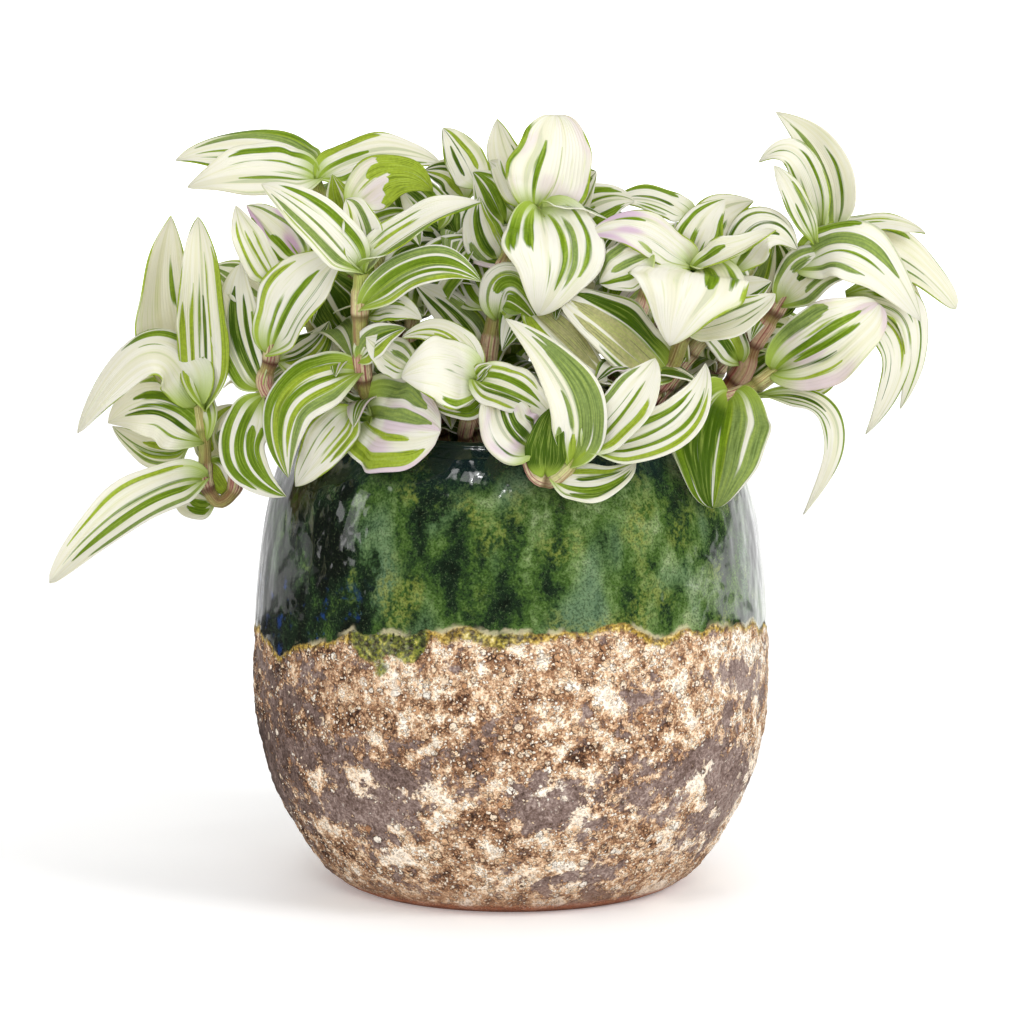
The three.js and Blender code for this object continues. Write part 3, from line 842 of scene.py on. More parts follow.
class Curve:
    """A smooth line through points, spaced by the root of their distances so that it doesn't loop."""

    SAMPLES = 12
    SHORTEST = 1e-4

    def __init__(self, points: Sequence[Point]) -> None:
        """Keeps the points and samples the line's length.

        Args:
            points: The places that the line passes.
        """
        self.points = [Vector(point) for point in points]
        count = self.SAMPLES * (len(points) - 1)
        self.samples = [self._point(index / count) for index in range(count + 1)]
        self.lengths = [0.0]
        for before, after in zip(self.samples, self.samples[1:]):
            self.lengths.append(self.lengths[-1] + (after - before).length)
        self.length = self.lengths[-1]

    def _point(self, share: float) -> Vector:
        """Finds a point of the line.

        Args:
            share: Where it is between the line's ends, from 0 to 1.

        Returns:
            The point.
        """
        points = self.points
        place = share * (len(points) - 1)
        index = min(int(place), len(points) - 2)
        weight = place - index
        second, third = points[index], points[index + 1]
        first = points[index - 1] if index > 0 else second * 2 - third
        fourth = points[index + 2] if index + 2 < len(points) else third * 2 - second
        pairs = (first, second), (second, third), (third, fourth)
        before, span, after = (max((high - low).length ** 0.5, self.SHORTEST) for low, high in pairs)
        start = (second - first) / before - (third - first) / (before + span) + (third - second) / span
        end = (third - second) / span - (fourth - second) / (span + after) + (fourth - third) / after
        start, end = start * span, end * span
        squared, cubed = weight**2, weight**3
        return (
            second * (2 * cubed - 3 * squared + 1)
            + start * (cubed - 2 * squared + weight)
            + third * (3 * squared - 2 * cubed)
            + end * (cubed - squared)
        )

    def at(self, distance: float) -> tuple[Vector, Vector]:
        """Finds a point and a direction of the line.

        Args:
            distance: How far along the line it is.

        Returns:
            The point, and the line's direction there.
        """
        distance = min(max(distance, 0.0), self.length)
        index = min(max(bisect_left(self.lengths, distance), 1), len(self.lengths) - 1)
        before, after = self.samples[index - 1], self.samples[index]
        span = self.lengths[index] - self.lengths[index - 1]
        share = (distance - self.lengths[index - 1]) / span if span else 0.0
        low = self.samples[max(index - 2, 0)]
        high = self.samples[min(index + 1, len(self.samples) - 1)]
        return before.lerp(after, share), (high - low).normalized()


@dataclass
class Leaf:
    """One leaf: where its midrib runs, its shape, which way it faces and its stripes."""

    name: str
    base: Point
    middle: Point
    tip: Point
    width: float = 14
    share: float = 0.5
    face: Point = (0, -0.85, 0.5)
    fold: float = 10
    cup: float = -10
    main: Green = FRESH
    blush: float = 0.0
    slim: float = 1.3
    twist: float = 0.0
    bands: Sequence[Row] = ()
    in_frame: bool = False

    FINISHES = ("leaf_upper", "leaf_under")
    THICKNESS = 0.42
    WIDEST_AT = 0.36
    OWN_GREEN = 0.62
    WHITE_SHARE = 0.36
    GREEN_SHARE = 0.9
    GREEN_RIM = 0.968
    WHITE_RIM = 0.96
    RIM_SWAY = 0.036
    RIM_TURNS = 17
    RIPPLE = 0.035
    RIPPLE_TURNS = 9
    EDGE_TURNS = 14
    WAVE = 0.085
    # The sheath at the base: how far it folds up in degrees, its length and half its width
    WRAP = 62.0
    WRAP_LENGTH = 0.2
    WRAP_HALF = 2.3
    WRAP_FADE = 2.2
    NARROWEST = 0.12
    # A stripe's ends: how far they taper, and the width that is left there
    OPENING = 0.12
    CLOSING = 0.22
    POINTED = 0.12
    DRIFT = 0.05
    # How strong the painted glow of light through each leaf's base is
    PAINTED_BASE_GLOW = 0.85
    GRID = (16, 28)
    FINE_GRID = (28, 44)

    def __post_init__(self) -> None:
        """Seeds the leaf from its name."""
        self.random = seeded(self.name)
        self.phase = self.random.uniform(0, math.tau)
        self.seed = self.random.random()
        self.waves = self.random.uniform(1.4, 2.6)
        base, middle, tip = Vector(self.base), Vector(self.middle), Vector(self.tip)
        self.handles = (base, middle * 2 - (base + tip) / 2, tip)
        self.stripes = [Band.of(row) for row in self.bands] or self._grown_bands()

    def _grown_bands(self) -> list[Band]:
        """Draws stripes at random, of about the leaf's share of green.

        Returns:
            The stripes, in their order across the leaf.
        """
        bands = []
        place = -1.0 + self.random.uniform(0.0, 0.25)
        while place < 1.0:
            green_width = self.random.uniform(0.09, 0.46) * (0.35 + self.share)
            gap = self.random.uniform(0.05, 0.40) * (1.25 - self.share)
            start = self.random.choice((0.0, 0.0, 0.0, 0.08, 0.2))
            end = self.random.uniform(0.45, 1.0) if self.random.random() < 1.1 - self.share else 1.0
            own = self.random.random() < self.OWN_GREEN
            green = self.main if own else self.random.choice((DEEP, FRESH, LIME, SILVER))
            bands.append(Band(place + green_width / 2, green_width, start, end, green))
            place += green_width + gap
        return bands

    def half_width(self, along: float) -> float:
        """Measures the leaf.

        Args:
            along: The place along the leaf, from 0 at the base to 1 at the tip.

        Returns:
            Half the leaf's width there.
        """
        rise, fall = self.WIDEST_AT * self.slim, (1 - self.WIDEST_AT) * self.slim

        def shape(place: float) -> float:
            """Returns the width of the outline before it is scaled."""
            return place**rise * (1 - place) ** fall

        full = self.width / 2 * shape(along) / shape(self.WIDEST_AT)
        full *= 1 + self.RIPPLE * math.sin(along * self.RIPPLE_TURNS + self.phase)
        return max(full, self.WRAP_HALF * (1 - along * self.WRAP_FADE), self.NARROWEST)

    def surface(self, across: float, along: float) -> Vector:
        """Returns the point of the leaf's upper face.

        Args:
            across: The place across the leaf, from -1 to 1.
            along: The place along it, from 0 at the base to 1 at the tip.

        Returns:
            The point, in millimetres.
        """
        start, bend, end = self.handles
        rest = 1 - along
        centre = start * rest**2 + bend * (2 * rest * along) + end * along**2
        forward = ((bend - start) * rest + (end - bend) * along).normalized()
        side = forward.cross(Vector(self.face)).normalized()
        side.rotate(Matrix.Rotation(math.radians(self.twist) * along, 3, forward))
        up = side.cross(forward).normalized()
        shift = 3 * self.phase + (2 if across > 0 else 0)
        reach = self.half_width(along) * (1 + self.RIPPLE * math.sin(along * self.EDGE_TURNS + shift))
        wrap = max(1 - along / self.WRAP_LENGTH, 0.0) ** 1.5 * self.WRAP
        fold = math.radians(self.fold + wrap)
        cup = math.radians(self.cup if abs(self.cup) > 1 else 1)
        out = abs(across)
        turn = fold + cup * out
        flat = (math.sin(turn) - math.sin(fold)) / cup
        lift = (math.cos(fold) - math.cos(turn)) / cup
        wave = math.sin(math.tau * self.waves * along + self.phase + (1.3 if across > 0 else 0.0))
        lift += self.WAVE * wave * out**2 * smooth(0.08, 0.35, along)
        return centre + side * (math.copysign(flat, across) * reach) + up * (lift * reach)

    def paint(self, across: float, along: float) -> tuple[float, float]:
        """Finds the stripe at a point.

        Args:
            across: The place across the leaf, from -1 to 1.
            along: The place along the leaf, from 0 at the base to 1 at the tip.

        Returns:
            How far inside a stripe the point is, and that stripe's place on the ramp of greens.
        """
        best, hue = -1.0, self.main.value
        for band in self.stripes:
            taper = smooth(band.start - 0.02, band.start + self.OPENING, along) if band.start > 0 else 1.0
            if band.end < 1:
                taper *= 1 - smooth(band.end - self.CLOSING, band.end + 0.02, along)
            drift = self.DRIFT * math.sin(3.1 * along + 7 * band.at + self.phase)
            half = band.width / 2 * (self.POINTED + (1 - self.POINTED) * taper)
            inside = half - abs(across - band.at - drift)
            inside -= (1 - min(taper * 4, 1)) * 0.3
            if inside > best:
                best, hue = inside, band.green.value
        edge = abs(across)
        if self.share > self.GREEN_SHARE:
            return best, hue
        if self.share < self.WHITE_SHARE:
            rim = edge - self.GREEN_RIM - self.RIM_SWAY * math.sin(along * self.RIM_TURNS + self.phase)
            return max(best, rim), LIME.value if rim > best else hue
        return min(best, self.WHITE_RIM - edge), hue

    def build(self) -> bpy.types.Object:
        """Makes the leaf's mesh as a thin closed blade.

        Returns:
            The piece, without materials.
        """
        mesh = bmesh.new()
        mesh.loops.layers.uv.new("UVMap")
        layers = values_of(mesh, "paint", "hue", "blush", "seed", "streaks", "painted_base_glow")
        columns, rows = self.FINE_GRID if self.in_frame else self.GRID
        bmesh.ops.create_grid(mesh, x_segments=columns, y_segments=rows, size=0.5, calc_uvs=True)
        for vert in mesh.verts:
            across, along = vert.co.x * 2, min(max(vert.co.y + 0.5, 0.0), 1.0)
            vert[layers["paint"]], vert[layers["hue"]] = self.paint(across, along)
            spot = noise.noise((across * 1.6, along * 2.4, self.seed * 50))
            vert[layers["blush"]] = self.blush * smooth(0.02, 0.35, spot)
            vert[layers["seed"]] = self.seed
            vert[layers["streaks"]] = 0.25 + self.share * 0.9
            # the painted glow of light through the leaf, strongest at its base
            vert[layers["painted_base_glow"]] = self.PAINTED_BASE_GLOW * (1 - smooth(0.02, self.WRAP_LENGTH, along))
            vert.co = self.surface(across, along)
        piece = piece_from(f"{self.name}_look" if self.in_frame else self.name, mesh)
        blade = piece.modifiers.new("Blade", "SOLIDIFY")
        blade.thickness = self.THICKNESS * MM
        blade.offset = 0.0
        blade.material_offset = 1
        return piece


@dataclass
class Stem:
    """One stem: its path, its radius and the nodes along it, each with a ring and a sheath above it."""

    name: str
    radius: float
    path: Sequence[Point]
    nodes: tuple[float, ...] = (0.3, 0.5, 0.7, 0.88)
    age: float = 0.3
    in_frame: bool = False

    FINISHES = ("stem",)
    SIDES = 16
    STEP = 1.1
    SHEATH = 9.0
    SHEATH_EXTRA = 0.55
    RING_WIDTH = 1.0
    RING_EXTRA = 0.28
    TAPER = 0.12
    UNEVEN = 0.12

    def __post_init__(self) -> None:
        """Draws the stem's line."""
        self.curve = Curve(self.path)
        self.seed = seeded(self.name).random()

    def marks(self, distance: float) -> tuple[float, float]:
        """Finds what the stem carries at a place.

        Args:
            distance: How far along the stem it is.

        Returns:
            How much there is of a ring and of a sheath.
        """
        ring = sheath = 0.0
        for node in self.nodes:
            above = distance - node * self.curve.length
            ring = max(ring, math.exp(-((above / self.RING_WIDTH) ** 2)))
            ends = smooth(self.SHEATH - 1, self.SHEATH + 0.5, above)
            sheath = max(sheath, smooth(-0.2, 0.9, above) * (1 - ends))
        return ring, sheath

    def build(self) -> bpy.types.Object:
        """Makes the stem's mesh, a closed tube whose width follows its nodes.

        Returns:
            The piece, without materials.
        """
        mesh = bmesh.new()
        mesh.loops.layers.uv.new("UVMap")
        layers = values_of(mesh, "ring", "sheath", "age", "seed", "young")
        rows = max(int(self.curve.length / self.STEP), 6)
        bmesh.ops.create_grid(mesh, x_segments=self.SIDES, y_segments=rows, size=0.5, calc_uvs=True)
        frames = self._frames(rows)
        for vert in mesh.verts:
            turn = (vert.co.x + 0.5) * math.tau
            row = round((vert.co.y + 0.5) * rows)
            centre, side, up = frames[row]
            distance = self.curve.length * row / rows
            ring, sheath = self.marks(distance)
            radius = self.radius + self.RING_EXTRA * ring + self.SHEATH_EXTRA * sheath
            radius *= 1 - self.TAPER * distance / self.curve.length
            around = (math.cos(turn) * 2, math.sin(turn) * 2, distance * 0.12 + self.seed * 40)
            radius += self.UNEVEN * noise.noise(around)
            vert.co = centre + side * (math.cos(turn) * radius) + up * (math.sin(turn) * radius)
            vert[layers["ring"]] = ring
            vert[layers["sheath"]] = sheath
            vert[layers["age"]] = self.age * (1 - smooth(0.55, 0.95, distance / self.curve.length))
            vert[layers["seed"]] = self.seed
            vert[layers["young"]] = 0.55 * smooth(0.8, 1.0, distance / self.curve.length)
        bmesh.ops.remove_doubles(mesh, verts=mesh.verts, dist=WELD)
        bmesh.ops.holes_fill(mesh, edges=[edge for edge in mesh.edges if edge.is_boundary], sides=0)
        bmesh.ops.recalc_face_normals(mesh, faces=mesh.faces)
        return piece_from(f"{self.name}_look" if self.in_frame else self.name, mesh)

    def _frames(self, rows: int) -> list[tuple[Vector, Vector, Vector]]:
        """Lays a cross-section at each row, turned as little as can be from row to row.

        Args:
            rows: How many rows of faces there are.

        Returns:
            Each row's middle and two directions across the stem.
        """
        _, forward = self.curve.at(0)
        side = forward.cross(Vector((0, 1, 0.2))).normalized()
        frames = []
        for row in range(rows + 1):
            centre, forward = self.curve.at(self.curve.length * row / rows)
            side = (side - forward * side.dot(forward)).normalized()
            frames.append((centre, side, forward.cross(side).normalized()))
        return frames


@dataclass
class Shoot:
    """A shoot that the camera hardly sees: a stem whose leaves stand by turns on its two sides."""

    name: str
    path: Sequence[Point]
    radius: float = 2.3
    leaves: int = 6
    length: float = 38
    share: float = 0.55
    first_at: float = 0.35
    main: Green = FRESH

    def stem(self) -> Stem:
        """Returns the shoot's stem, with a node under each leaf."""
        nodes = tuple(self.place(index) - 0.06 for index in range(self.leaves))
        return Stem(f"{self.name}_stem", self.radius, self.path, nodes)

    def place(self, index: int) -> float:
        """Returns where a leaf stands along the shoot, from 0 to 1."""
        return self.first_at + (1 - self.first_at) * index / max(self.leaves - 1, 1)

    def grow(self) -> list[Leaf]:
        """Draws the leaves at random from the shoot's own seed.

        Returns:
            The leaves.
        """
        draw = seeded(self.name)
        curve, level = Curve(self.path), Vector((0, 0, 1))
        grown = []
        for index in range(self.leaves):
            base, forward = curve.at(curve.length * self.place(index))
            side = forward.cross(level)
            side = side.normalized() if side.length > 0.15 else Vector((1, 0, 0))
            side.rotate(Matrix.Rotation(math.radians(draw.uniform(-35, 35)), 3, forward))
            side *= -1 if index % 2 else 1
            size = self.length * draw.uniform(0.8, 1.08) * (0.75 if index == self.leaves - 1 else 1.0)
            rise = draw.uniform(0.12, 0.34)
            middle = base + side * size * 0.44 + forward * size * 0.22 + level * size * rise * 0.5
            tip = base + side * size * 0.84 + forward * size * 0.30 - level * size * draw.uniform(0.0, 0.34)
            face = forward * 0.6 + level * 0.7 + side * draw.uniform(-0.1, 0.2)
            grown.append(
                Leaf(
                    f"{self.name}_leaf_{index + 1}", tuple(base), tuple(middle), tuple(tip),
                    face=tuple(face), width=size * draw.uniform(0.40, 0.50), fold=draw.uniform(4, 16),
                    cup=draw.uniform(-18, 6), share=min(max(self.share + draw.uniform(-0.2, 0.2), 0.1), 0.96),
                    main=draw.choice((self.main, self.main, FRESH, SILVER)), twist=draw.uniform(-18, 18),
                    blush=draw.choice((0.0, 0.0, 0.0, 0.5)),
                )
            )
        return grown


# The stems and leaves that the frame holds, in the places of its nodes. A row of a leaf's bands is a stripe:
# its place and width across the leaf and its start and end along it, in hundredths, and its green.
FRAME_STEMS: tuple[Stem, ...] = (
    Stem("left_stem", 2.3, ((-28, -5, 118), (-42, -8, 150), (-54, -10, 159), (-68, -12, 160.5),
         (-80, -13, 153), (-87, -15, 139), (-88.5, -16, 129.5), (-93, -17, 126), (-97, -17, 131.5),
         (-97.5, -18, 145), (-99.5, -17, 159)), (0.25, 0.45, 0.66, 0.8, 0.93), 0.7),
    Stem("side_left_stem", 2.6, ((-20, -15, 118), (-36, -19, 149), (-50, -22, 159), (-64, -25, 160.5),
         (-75, -27, 161.5), (-78, -27, 166), (-76, -28, 174), (-74.5, -28, 186), (-74, -28, 197)),
         (0.3, 0.5, 0.68, 0.79, 0.92), 0.8),
    Stem("fan_stem", 2.7, ((-20, -25, 118), (-33, -32, 146), (-42, -37, 157.5), (-45.5, -41.5, 165),
         (-47, -46, 178), (-47.4, -48, 192), (-47, -48, 204)), (0.3, 0.475, 0.64, 0.86), 0.2),
    Stem("crown_left_stem", 2.2, ((-26, 14, 118), (-38, 18, 158), (-50, 22, 190), (-59, 21, 212),
         (-62.5, 18, 224)), (0.25, 0.5, 0.75, 0.9)),
    Stem("crown_stem", 2.8, ((-4, -22, 118), (-7, -31, 152), (-7.4, -38, 174.5), (-5, -38, 190),
         (-2, -36, 205), (3, -34, 215), (8, -32, 223)), (0.3, 0.53, 0.74, 0.93), 0.25),
    Stem("low_stem", 2.2, ((-14, -33, 118), (-15, -43, 148), (-13, -53, 161), (-11.5, -61, 172)),
         (0.3, 0.6, 0.86)),
    Stem("front_stem", 2.5, ((8, -34, 118), (7, -46, 148), (6, -56, 158), (5, -66, 158.5), (5.5, -74, 152.5),
         (8, -76.5, 145), (12.5, -77, 143.5), (18, -77, 148), (23, -76.5, 152.5)), (0.3, 0.55, 0.74, 0.84),
         0.5),
    Stem("middle_right_stem", 2.8, ((22, -16, 118), (34, -28, 150), (43, -38, 163), (49.5, -43, 172),
         (54, -45, 184), (56.5, -45, 196), (57, -45, 204)), (0.3, 0.5, 0.61, 0.8), 0.3),
    Stem("right_stem", 3.4, ((30, -4, 118), (45, -9, 150), (56, -14, 158), (65, -17, 159.5), (73, -18, 167.5),
         (76.5, -18, 177), (81, -18, 184), (86, -18, 192.5), (92.5, -18, 201.5), (100, -15, 209)),
         (0.3, 0.46, 0.56, 0.67, 0.77, 0.88), 1.0),
    Stem("right_low_stem", 2.4, ((26, -24, 118), (40, -27, 148), (52, -29, 158.5), (64, -30, 160.5),
         (75, -29, 164), (84, -25, 169.5)), (0.3, 0.55, 0.75, 0.9), 0.9),
    Stem("back_left_stem", 2.4, ((-20, 28, 118), (-32, 38, 150), (-42, 47, 161), (-50, 58, 168),
         (-55, 66, 180), (-56, 68, 194)), (0.3, 0.5, 0.7, 0.9)),
    Stem("back_stem", 2.4, ((-2, 34, 118), (-2, 48, 150), (-1, 60, 160), (1, 74, 160.5), (4, 84, 154),
         (8, 90, 146)), (0.3, 0.5, 0.7, 0.9)),
    Stem("back_right_stem", 2.5, ((18, 24, 118), (30, 35, 152), (38, 44, 168), (44, 52, 184), (47, 55, 198)),
         (0.3, 0.5, 0.7, 0.9)),
)

FRAME_LEAVES: tuple[Leaf, ...] = (
    Leaf("left_leaf_1", (-99, -15, 157), (-110.3, -8, 184), (-108, -10, 217), 27, 0.12, (0.5, -0.8, 0.1), 5,
         25, bands=((30, 22, 50, 88, FRESH), (-62, 20, 16, 52, FRESH), (-10, 16, 0, 28, DEEP),
         (-95, 10, 10, 90, LIME))),
    Leaf("left_leaf_2", (-97, -20, 156), (-98, -19, 187), (-99.2, -14, 217.2), 19, 0.3, (0, -1, 0.15), 18, 25,
         slim=1.1, bands=((-80, 26, 0, 62, LIME), (-36, 16, 0, 72, LIME), (-14, 10, 0, 78, FRESH),
         (6, 12, 0, 66, DEEP), (34, 10, 10, 88, LIME), (80, 24, 0, 90, LIME))),
    Leaf("left_leaf_3", (-99.5, -19, 158), (-115.0, -28, 176.0), (-137.5, -24, 149.5), 23, 0.15,
         (-0.3, -0.55, 0.78), 5, -20, slim=1.0, bands=((80, 32, 12, 72, FRESH), (-10, 50, 0, 22, LIME),
         (28, 7, 30, 62, FRESH))),
    Leaf("left_leaf_4", (-97.6, -18, 146), (-112, -20, 157), (-128.2, -17, 151.5), 25, 0.5, (-0.1, -0.9, 0.4),
         6, 15, main=DEEP, bands=((36, 28, 0, 80, FRESH), (68, 18, 0, 72, FRESH), (90, 10, 0, 60, LIME),
         (6, 16, 0, 86, FRESH), (-22, 20, 0, 90, DEEP), (-52, 12, 0, 70, FRESH))),
    Leaf("left_leaf_5", (-97, -18, 133), (-121, -27, 125.5), (-146.8, -26, 101.4), 19, 0.5,
         (-0.2, -0.85, 0.5), 18, 10, main=SILVER, slim=0.95, bands=((-25, 34, 5, 93, FRESH),
         (-80, 24, 0, 85, SILVER), (22, 14, 0, 97, SILVER), (70, 16, 10, 90, LIME))),
    Leaf("crown_left_leaf_1", (-62.5, 18, 224), (-81.5, 10, 228.5), (-103.5, 10, 223.5), 25, 0.45,
         (0, -0.6, 0.8), 12, bands=((75, 26, 0, 75, FRESH), (35, 14, 0, 80, FRESH), (8, 10, 0, 85, FRESH),
         (-30, 12, 0, 70, FRESH))),
    Leaf("crown_left_leaf_2", (-62.5, 20, 224), (-84.3, 33, 231.5), (-108.2, 34, 229), 25, 0.25,
         (-0.1, -0.45, 0.85), 12, -15),
    Leaf("crown_left_leaf_3", (-62, 18, 224), (-42.7, 17, 232.5), (-22.5, 18, 230), 20, 0.35, (0, -0.6, 0.8),
         14, -15, bands=((62, 34, 0, 95, FRESH), (-82, 34, 0, 60, LIME), (-30, 20, 0, 50, FRESH),
         (20, 10, 10, 60, FRESH))),
    Leaf("fan_leaf_1", (-47, -48, 204), (-61.4, -50, 220.8), (-78, -46, 232), 18, 0.6, (0.3, -0.85, 0.4), 16,
         5, bands=((66, 30, 0, 95, FRESH), (32, 12, 0, 90, LIME), (-5, 16, 0, 98, SILVER),
         (-50, 32, 0, 95, SILVER), (-86, 10, 0, 80, LIME))),
    Leaf("fan_leaf_2", (-47, -48, 205), (-27, -50, 220), (-9.4, -45, 226), 17, 0.3, (-0.2, -0.5, 0.85), 25, 5,
         bands=((70, 62, 0, 100, FRESH), (-30, 18, 10, 60, LIME), (-65, 12, 10, 60, FRESH),
         (10, 12, 0, 80, LIME))),
    Leaf("fan_leaf_3", (-47, -49, 193), (-26.8, -62, 208.5), (-9.4, -65, 204), 14, 0.8, (0, -0.85, 0.5), 14,
         -15, main=SILVER, bands=((-74, 46, 0, 100, SILVER), (-27, 42, 0, 100, FRESH),
         (8, 22, 0, 100, SILVER), (36, 26, 0, 100, FRESH), (60, 14, 0, 90, SILVER), (84, 28, 0, 100, LIME))),
    Leaf("side_left_leaf_1", (-75.5, -29, 176), (-66, -37, 197), (-51, -31, 209), 25, 0.35,
         (-0.5, -0.75, 0.4), 8, 15, bands=((-78, 16, 0, 70, LIME), (-36, 16, 0, 50, FRESH),
         (2, 26, 0, 78, FRESH), (42, 12, 10, 90, SILVER), (72, 10, 0, 80, SILVER))),
    Leaf("side_left_leaf_2", (-78, -26, 164), (-86, -21, 181.5), (-85.7, -15, 202.4), 18, 0.5,
         (-0.35, -0.9, 0.1), 8, 12, main=DEEP, slim=1.0, bands=((-72, 36, 0, 66, FRESH),
         (-14, 40, 0, 90, DEEP), (36, 22, 0, 85, DEEP), (72, 20, 0, 70, FRESH))),
    Leaf("side_left_leaf_3", (-74.5, -27, 197), (-82, -22, 209.5), (-87, -20, 221.7), 12, 0.45,
         (-0.2, -0.9, 0.35), 15, 10, main=LIME, bands=((-55, 24, 0, 92, LIME), (0, 24, 0, 75, LIME),
         (45, 14, 0, 70, LIME))),
    Leaf("fan_leaf_4", (-47, -45, 172), (-69, -52, 164), (-70, -46, 139), 22, 0.75, (-0.35, -0.75, 0.55), 5,
         -20, bands=((74, 46, 0, 100, FRESH), (32, 26, 0, 100, LIME), (0, 24, 0, 100, FRESH),
         (-32, 22, 0, 95, LIME), (-70, 30, 0, 100, SILVER))),
    Leaf("side_left_leaf_4", (-78, -27, 162), (-84, -33, 144), (-71, -41, 132), 18, 0.85, (-0.5, -0.85, 0.1)),
    Leaf("crown_leaf_1", (8, -32, 223), (13, -34, 238.5), (14, -24, 251), 27, 0.12, (0.1, -0.95, 0.3), 4, 22,
         blush=0.25, slim=0.85, bands=((-22, 14, 0, 74, FRESH), (16, 5, 0, 70, LIME), (93, 10, 0, 40, FRESH),
         (-94, 8, 20, 95, FRESH))),
    Leaf("crown_leaf_2", (6, -31, 221), (-1, -22, 236), (-4.4, -18, 249), 13, 0.25, (-0.3, -0.9, 0.2), 14, 15,
         bands=((60, 20, 0, 70, FRESH), (-40, 14, 30, 60, FRESH), (0, 8, 10, 50, LIME))),
    Leaf("crown_leaf_3", (9, -34, 222), (13.5, -53, 210), (8.4, -53, 191.5), 32, 0.4, (0.2, -0.93, 0.3), 8,
         -12, bands=((86, 26, 0, 60, FRESH), (42, 30, 2, 55, FRESH), (6, 6, 20, 95, DEEP),
         (-16, 9, 5, 85, FRESH), (-44, 14, 10, 85, SILVER), (-70, 13, 5, 70, FRESH))),
    Leaf("crown_leaf_4", (-5, -36, 190), (-14, -22, 204), (-6, -14, 218), 16, 0.75, (-0.3, -0.9, 0.2), 8, 18),
    Leaf("low_leaf_1", (-11.5, -61, 171.5), (-22.8, -71, 177.5), (-34, -69, 174.5), 24, 0.15,
         (-0.1, -0.85, 0.5), 5, -20, bands=((15, 10, 8, 42, FRESH), (-2, 10, 8, 52, FRESH),
         (-85, 20, 0, 50, FRESH))),
    Leaf("low_leaf_2", (-11.5, -60, 172), (-20, -55, 185), (-34, -56, 185), 14, 0.35, (0.1, -0.6, 0.8), 12,
         -15, main=LIME),
    Leaf("low_leaf_3", (-11, -62, 172), (1.2, -70, 170), (13, -70, 161.5), 18, 0.5, (0.1, -0.75, 0.65),
         bands=((-75, 18, 0, 80, LIME), (-32, 26, 0, 85, FRESH), (8, 24, 0, 92, FRESH), (42, 16, 0, 80, DEEP),
         (75, 16, 0, 70, LIME))),
    Leaf("round_leaf", (-43.4, -42, 157.5), (-36.5, -61, 158.5), (-22, -70, 157.5), 34, 0.6,
         (-0.6, -0.62, 0.42), 3, -14, blush=0.5, slim=0.75, bands=((-64, 44, 0, 88, SILVER),
         (-20, 30, 0, 97, SILVER), (28, 13, 0, 80, LIME), (73, 34, 0, 96, LIME))),
    Leaf("front_leaf_1", (18.5, -77.5, 148.5), (19, -82, 171.5), (-1.6, -76, 194), 18, 0.6, (0, -0.95, 0.3),
         10, 8, main=SILVER, bands=((72, 44, 0, 97, SILVER), (22, 50, 0, 92, SILVER),
         (-36, 16, 20, 62, SILVER), (-72, 40, 0, 35, SILVER), (-30, 50, 0, 26, LIME), (40, 60, 0, 18, LIME))),
    Leaf("front_leaf_2", (23, -77, 152.5), (37, -81, 169), (44.7, -76, 181.5), 17, 0.45, (0.1, -0.9, 0.4), 15,
         12, bands=((62, 30, 0, 70, LIME), (10, 14, 0, 80, FRESH), (-25, 12, 0, 75, FRESH),
         (-80, 30, 0, 90, SILVER))),
    Leaf("front_leaf_3", (23.5, -76, 152.5), (50, -80, 161), (60.5, -70, 179), 17, 0.5, (0.15, -0.85, 0.5),
         18, 8, bands=((-60, 24, 0, 85, FRESH), (-15, 16, 0, 85, FRESH), (30, 20, 0, 90, FRESH),
         (75, 26, 0, 90, LIME))),
    Leaf("front_leaf_4", (12, -77, 143.5), (27, -80, 142.5), (38.8, -75, 148.5), 14, 0.6, (0, -0.75, 0.66),
         12, 5),
    Leaf("hanging_leaf", (69, -29, 161.5), (65, -51, 150), (63.5, -51, 130), 31, 0.88, (0.0, -0.93, 0.36), 20,
         -25, main=DEEP, slim=0.95, bands=((-79, 44, 0, 100, SILVER), (-37, 38, 0, 100, SILVER),
         (-8, 22, 0, 100, FRESH), (20, 36, 0, 100, DEEP), (56, 36, 0, 100, DEEP), (86, 24, 0, 100, FRESH))),
    Leaf("middle_right_leaf_1", (49, -44, 171), (32.6, -55, 188.5), (14, -49, 198), 24, 0.6,
         (-0.1, -0.7, 0.7), 5, -15, main=DEEP, bands=((52, 50, 0, 95, DEEP), (90, 12, 0, 90, FRESH),
         (-90, 10, 0, 60, DEEP), (-12, 56, 0, 92, STRAW), (-60, 34, 0, 85, STRAW))),
    Leaf("middle_right_leaf_2", (57, -45, 203), (55, -63, 202.5), (49.4, -66, 184), 37, 0.15, (0, -0.8, 0.6),
         4, -12, bands=((-36, 26, 5, 55, FRESH), (-74, 16, 5, 50, FRESH), (-6, 5, 0, 50, LIME))),
    Leaf("middle_right_leaf_3", (57, -45, 204), (70, -51, 211), (83, -43, 217), 13, 0.3, (-0.2, -0.55, 0.8),
         30, 10, bands=((-55, 36, 0, 50, FRESH), (75, 26, 0, 90, LIME))),
    Leaf("middle_right_leaf_4", (57, -44, 204.5), (40.4, -46, 217.3), (24.1, -44, 215.5), 18, 0.2,
         (0, -0.6, 0.8), 8, -18, blush=0.75, bands=((45, 14, 45, 80, FRESH), (-30, 10, 0, 50, FRESH),
         (-60, 10, 0, 50, LIME))),
    Leaf("middle_right_leaf_5", (54.5, -45, 185), (70.2, -50, 190.4), (82.9, -44, 197), 15, 0.45,
         (0, -0.75, 0.65), 12, 8, main=SILVER, bands=((-85, 18, 0, 90, LIME), (-35, 20, 10, 95, SILVER),
         (10, 12, 0, 90, SILVER), (50, 10, 0, 80, SILVER))),
    Leaf("right_leaf_1", (92.5, -19, 201.5), (109.5, -32, 209), (129.5, -26, 185.7), 23, 0.6,
         (-0.1, -0.75, 0.65), 5, -20, main=SILVER, bands=((-85, 34, 0, 50, FRESH), (-35, 46, 2, 85, SILVER),
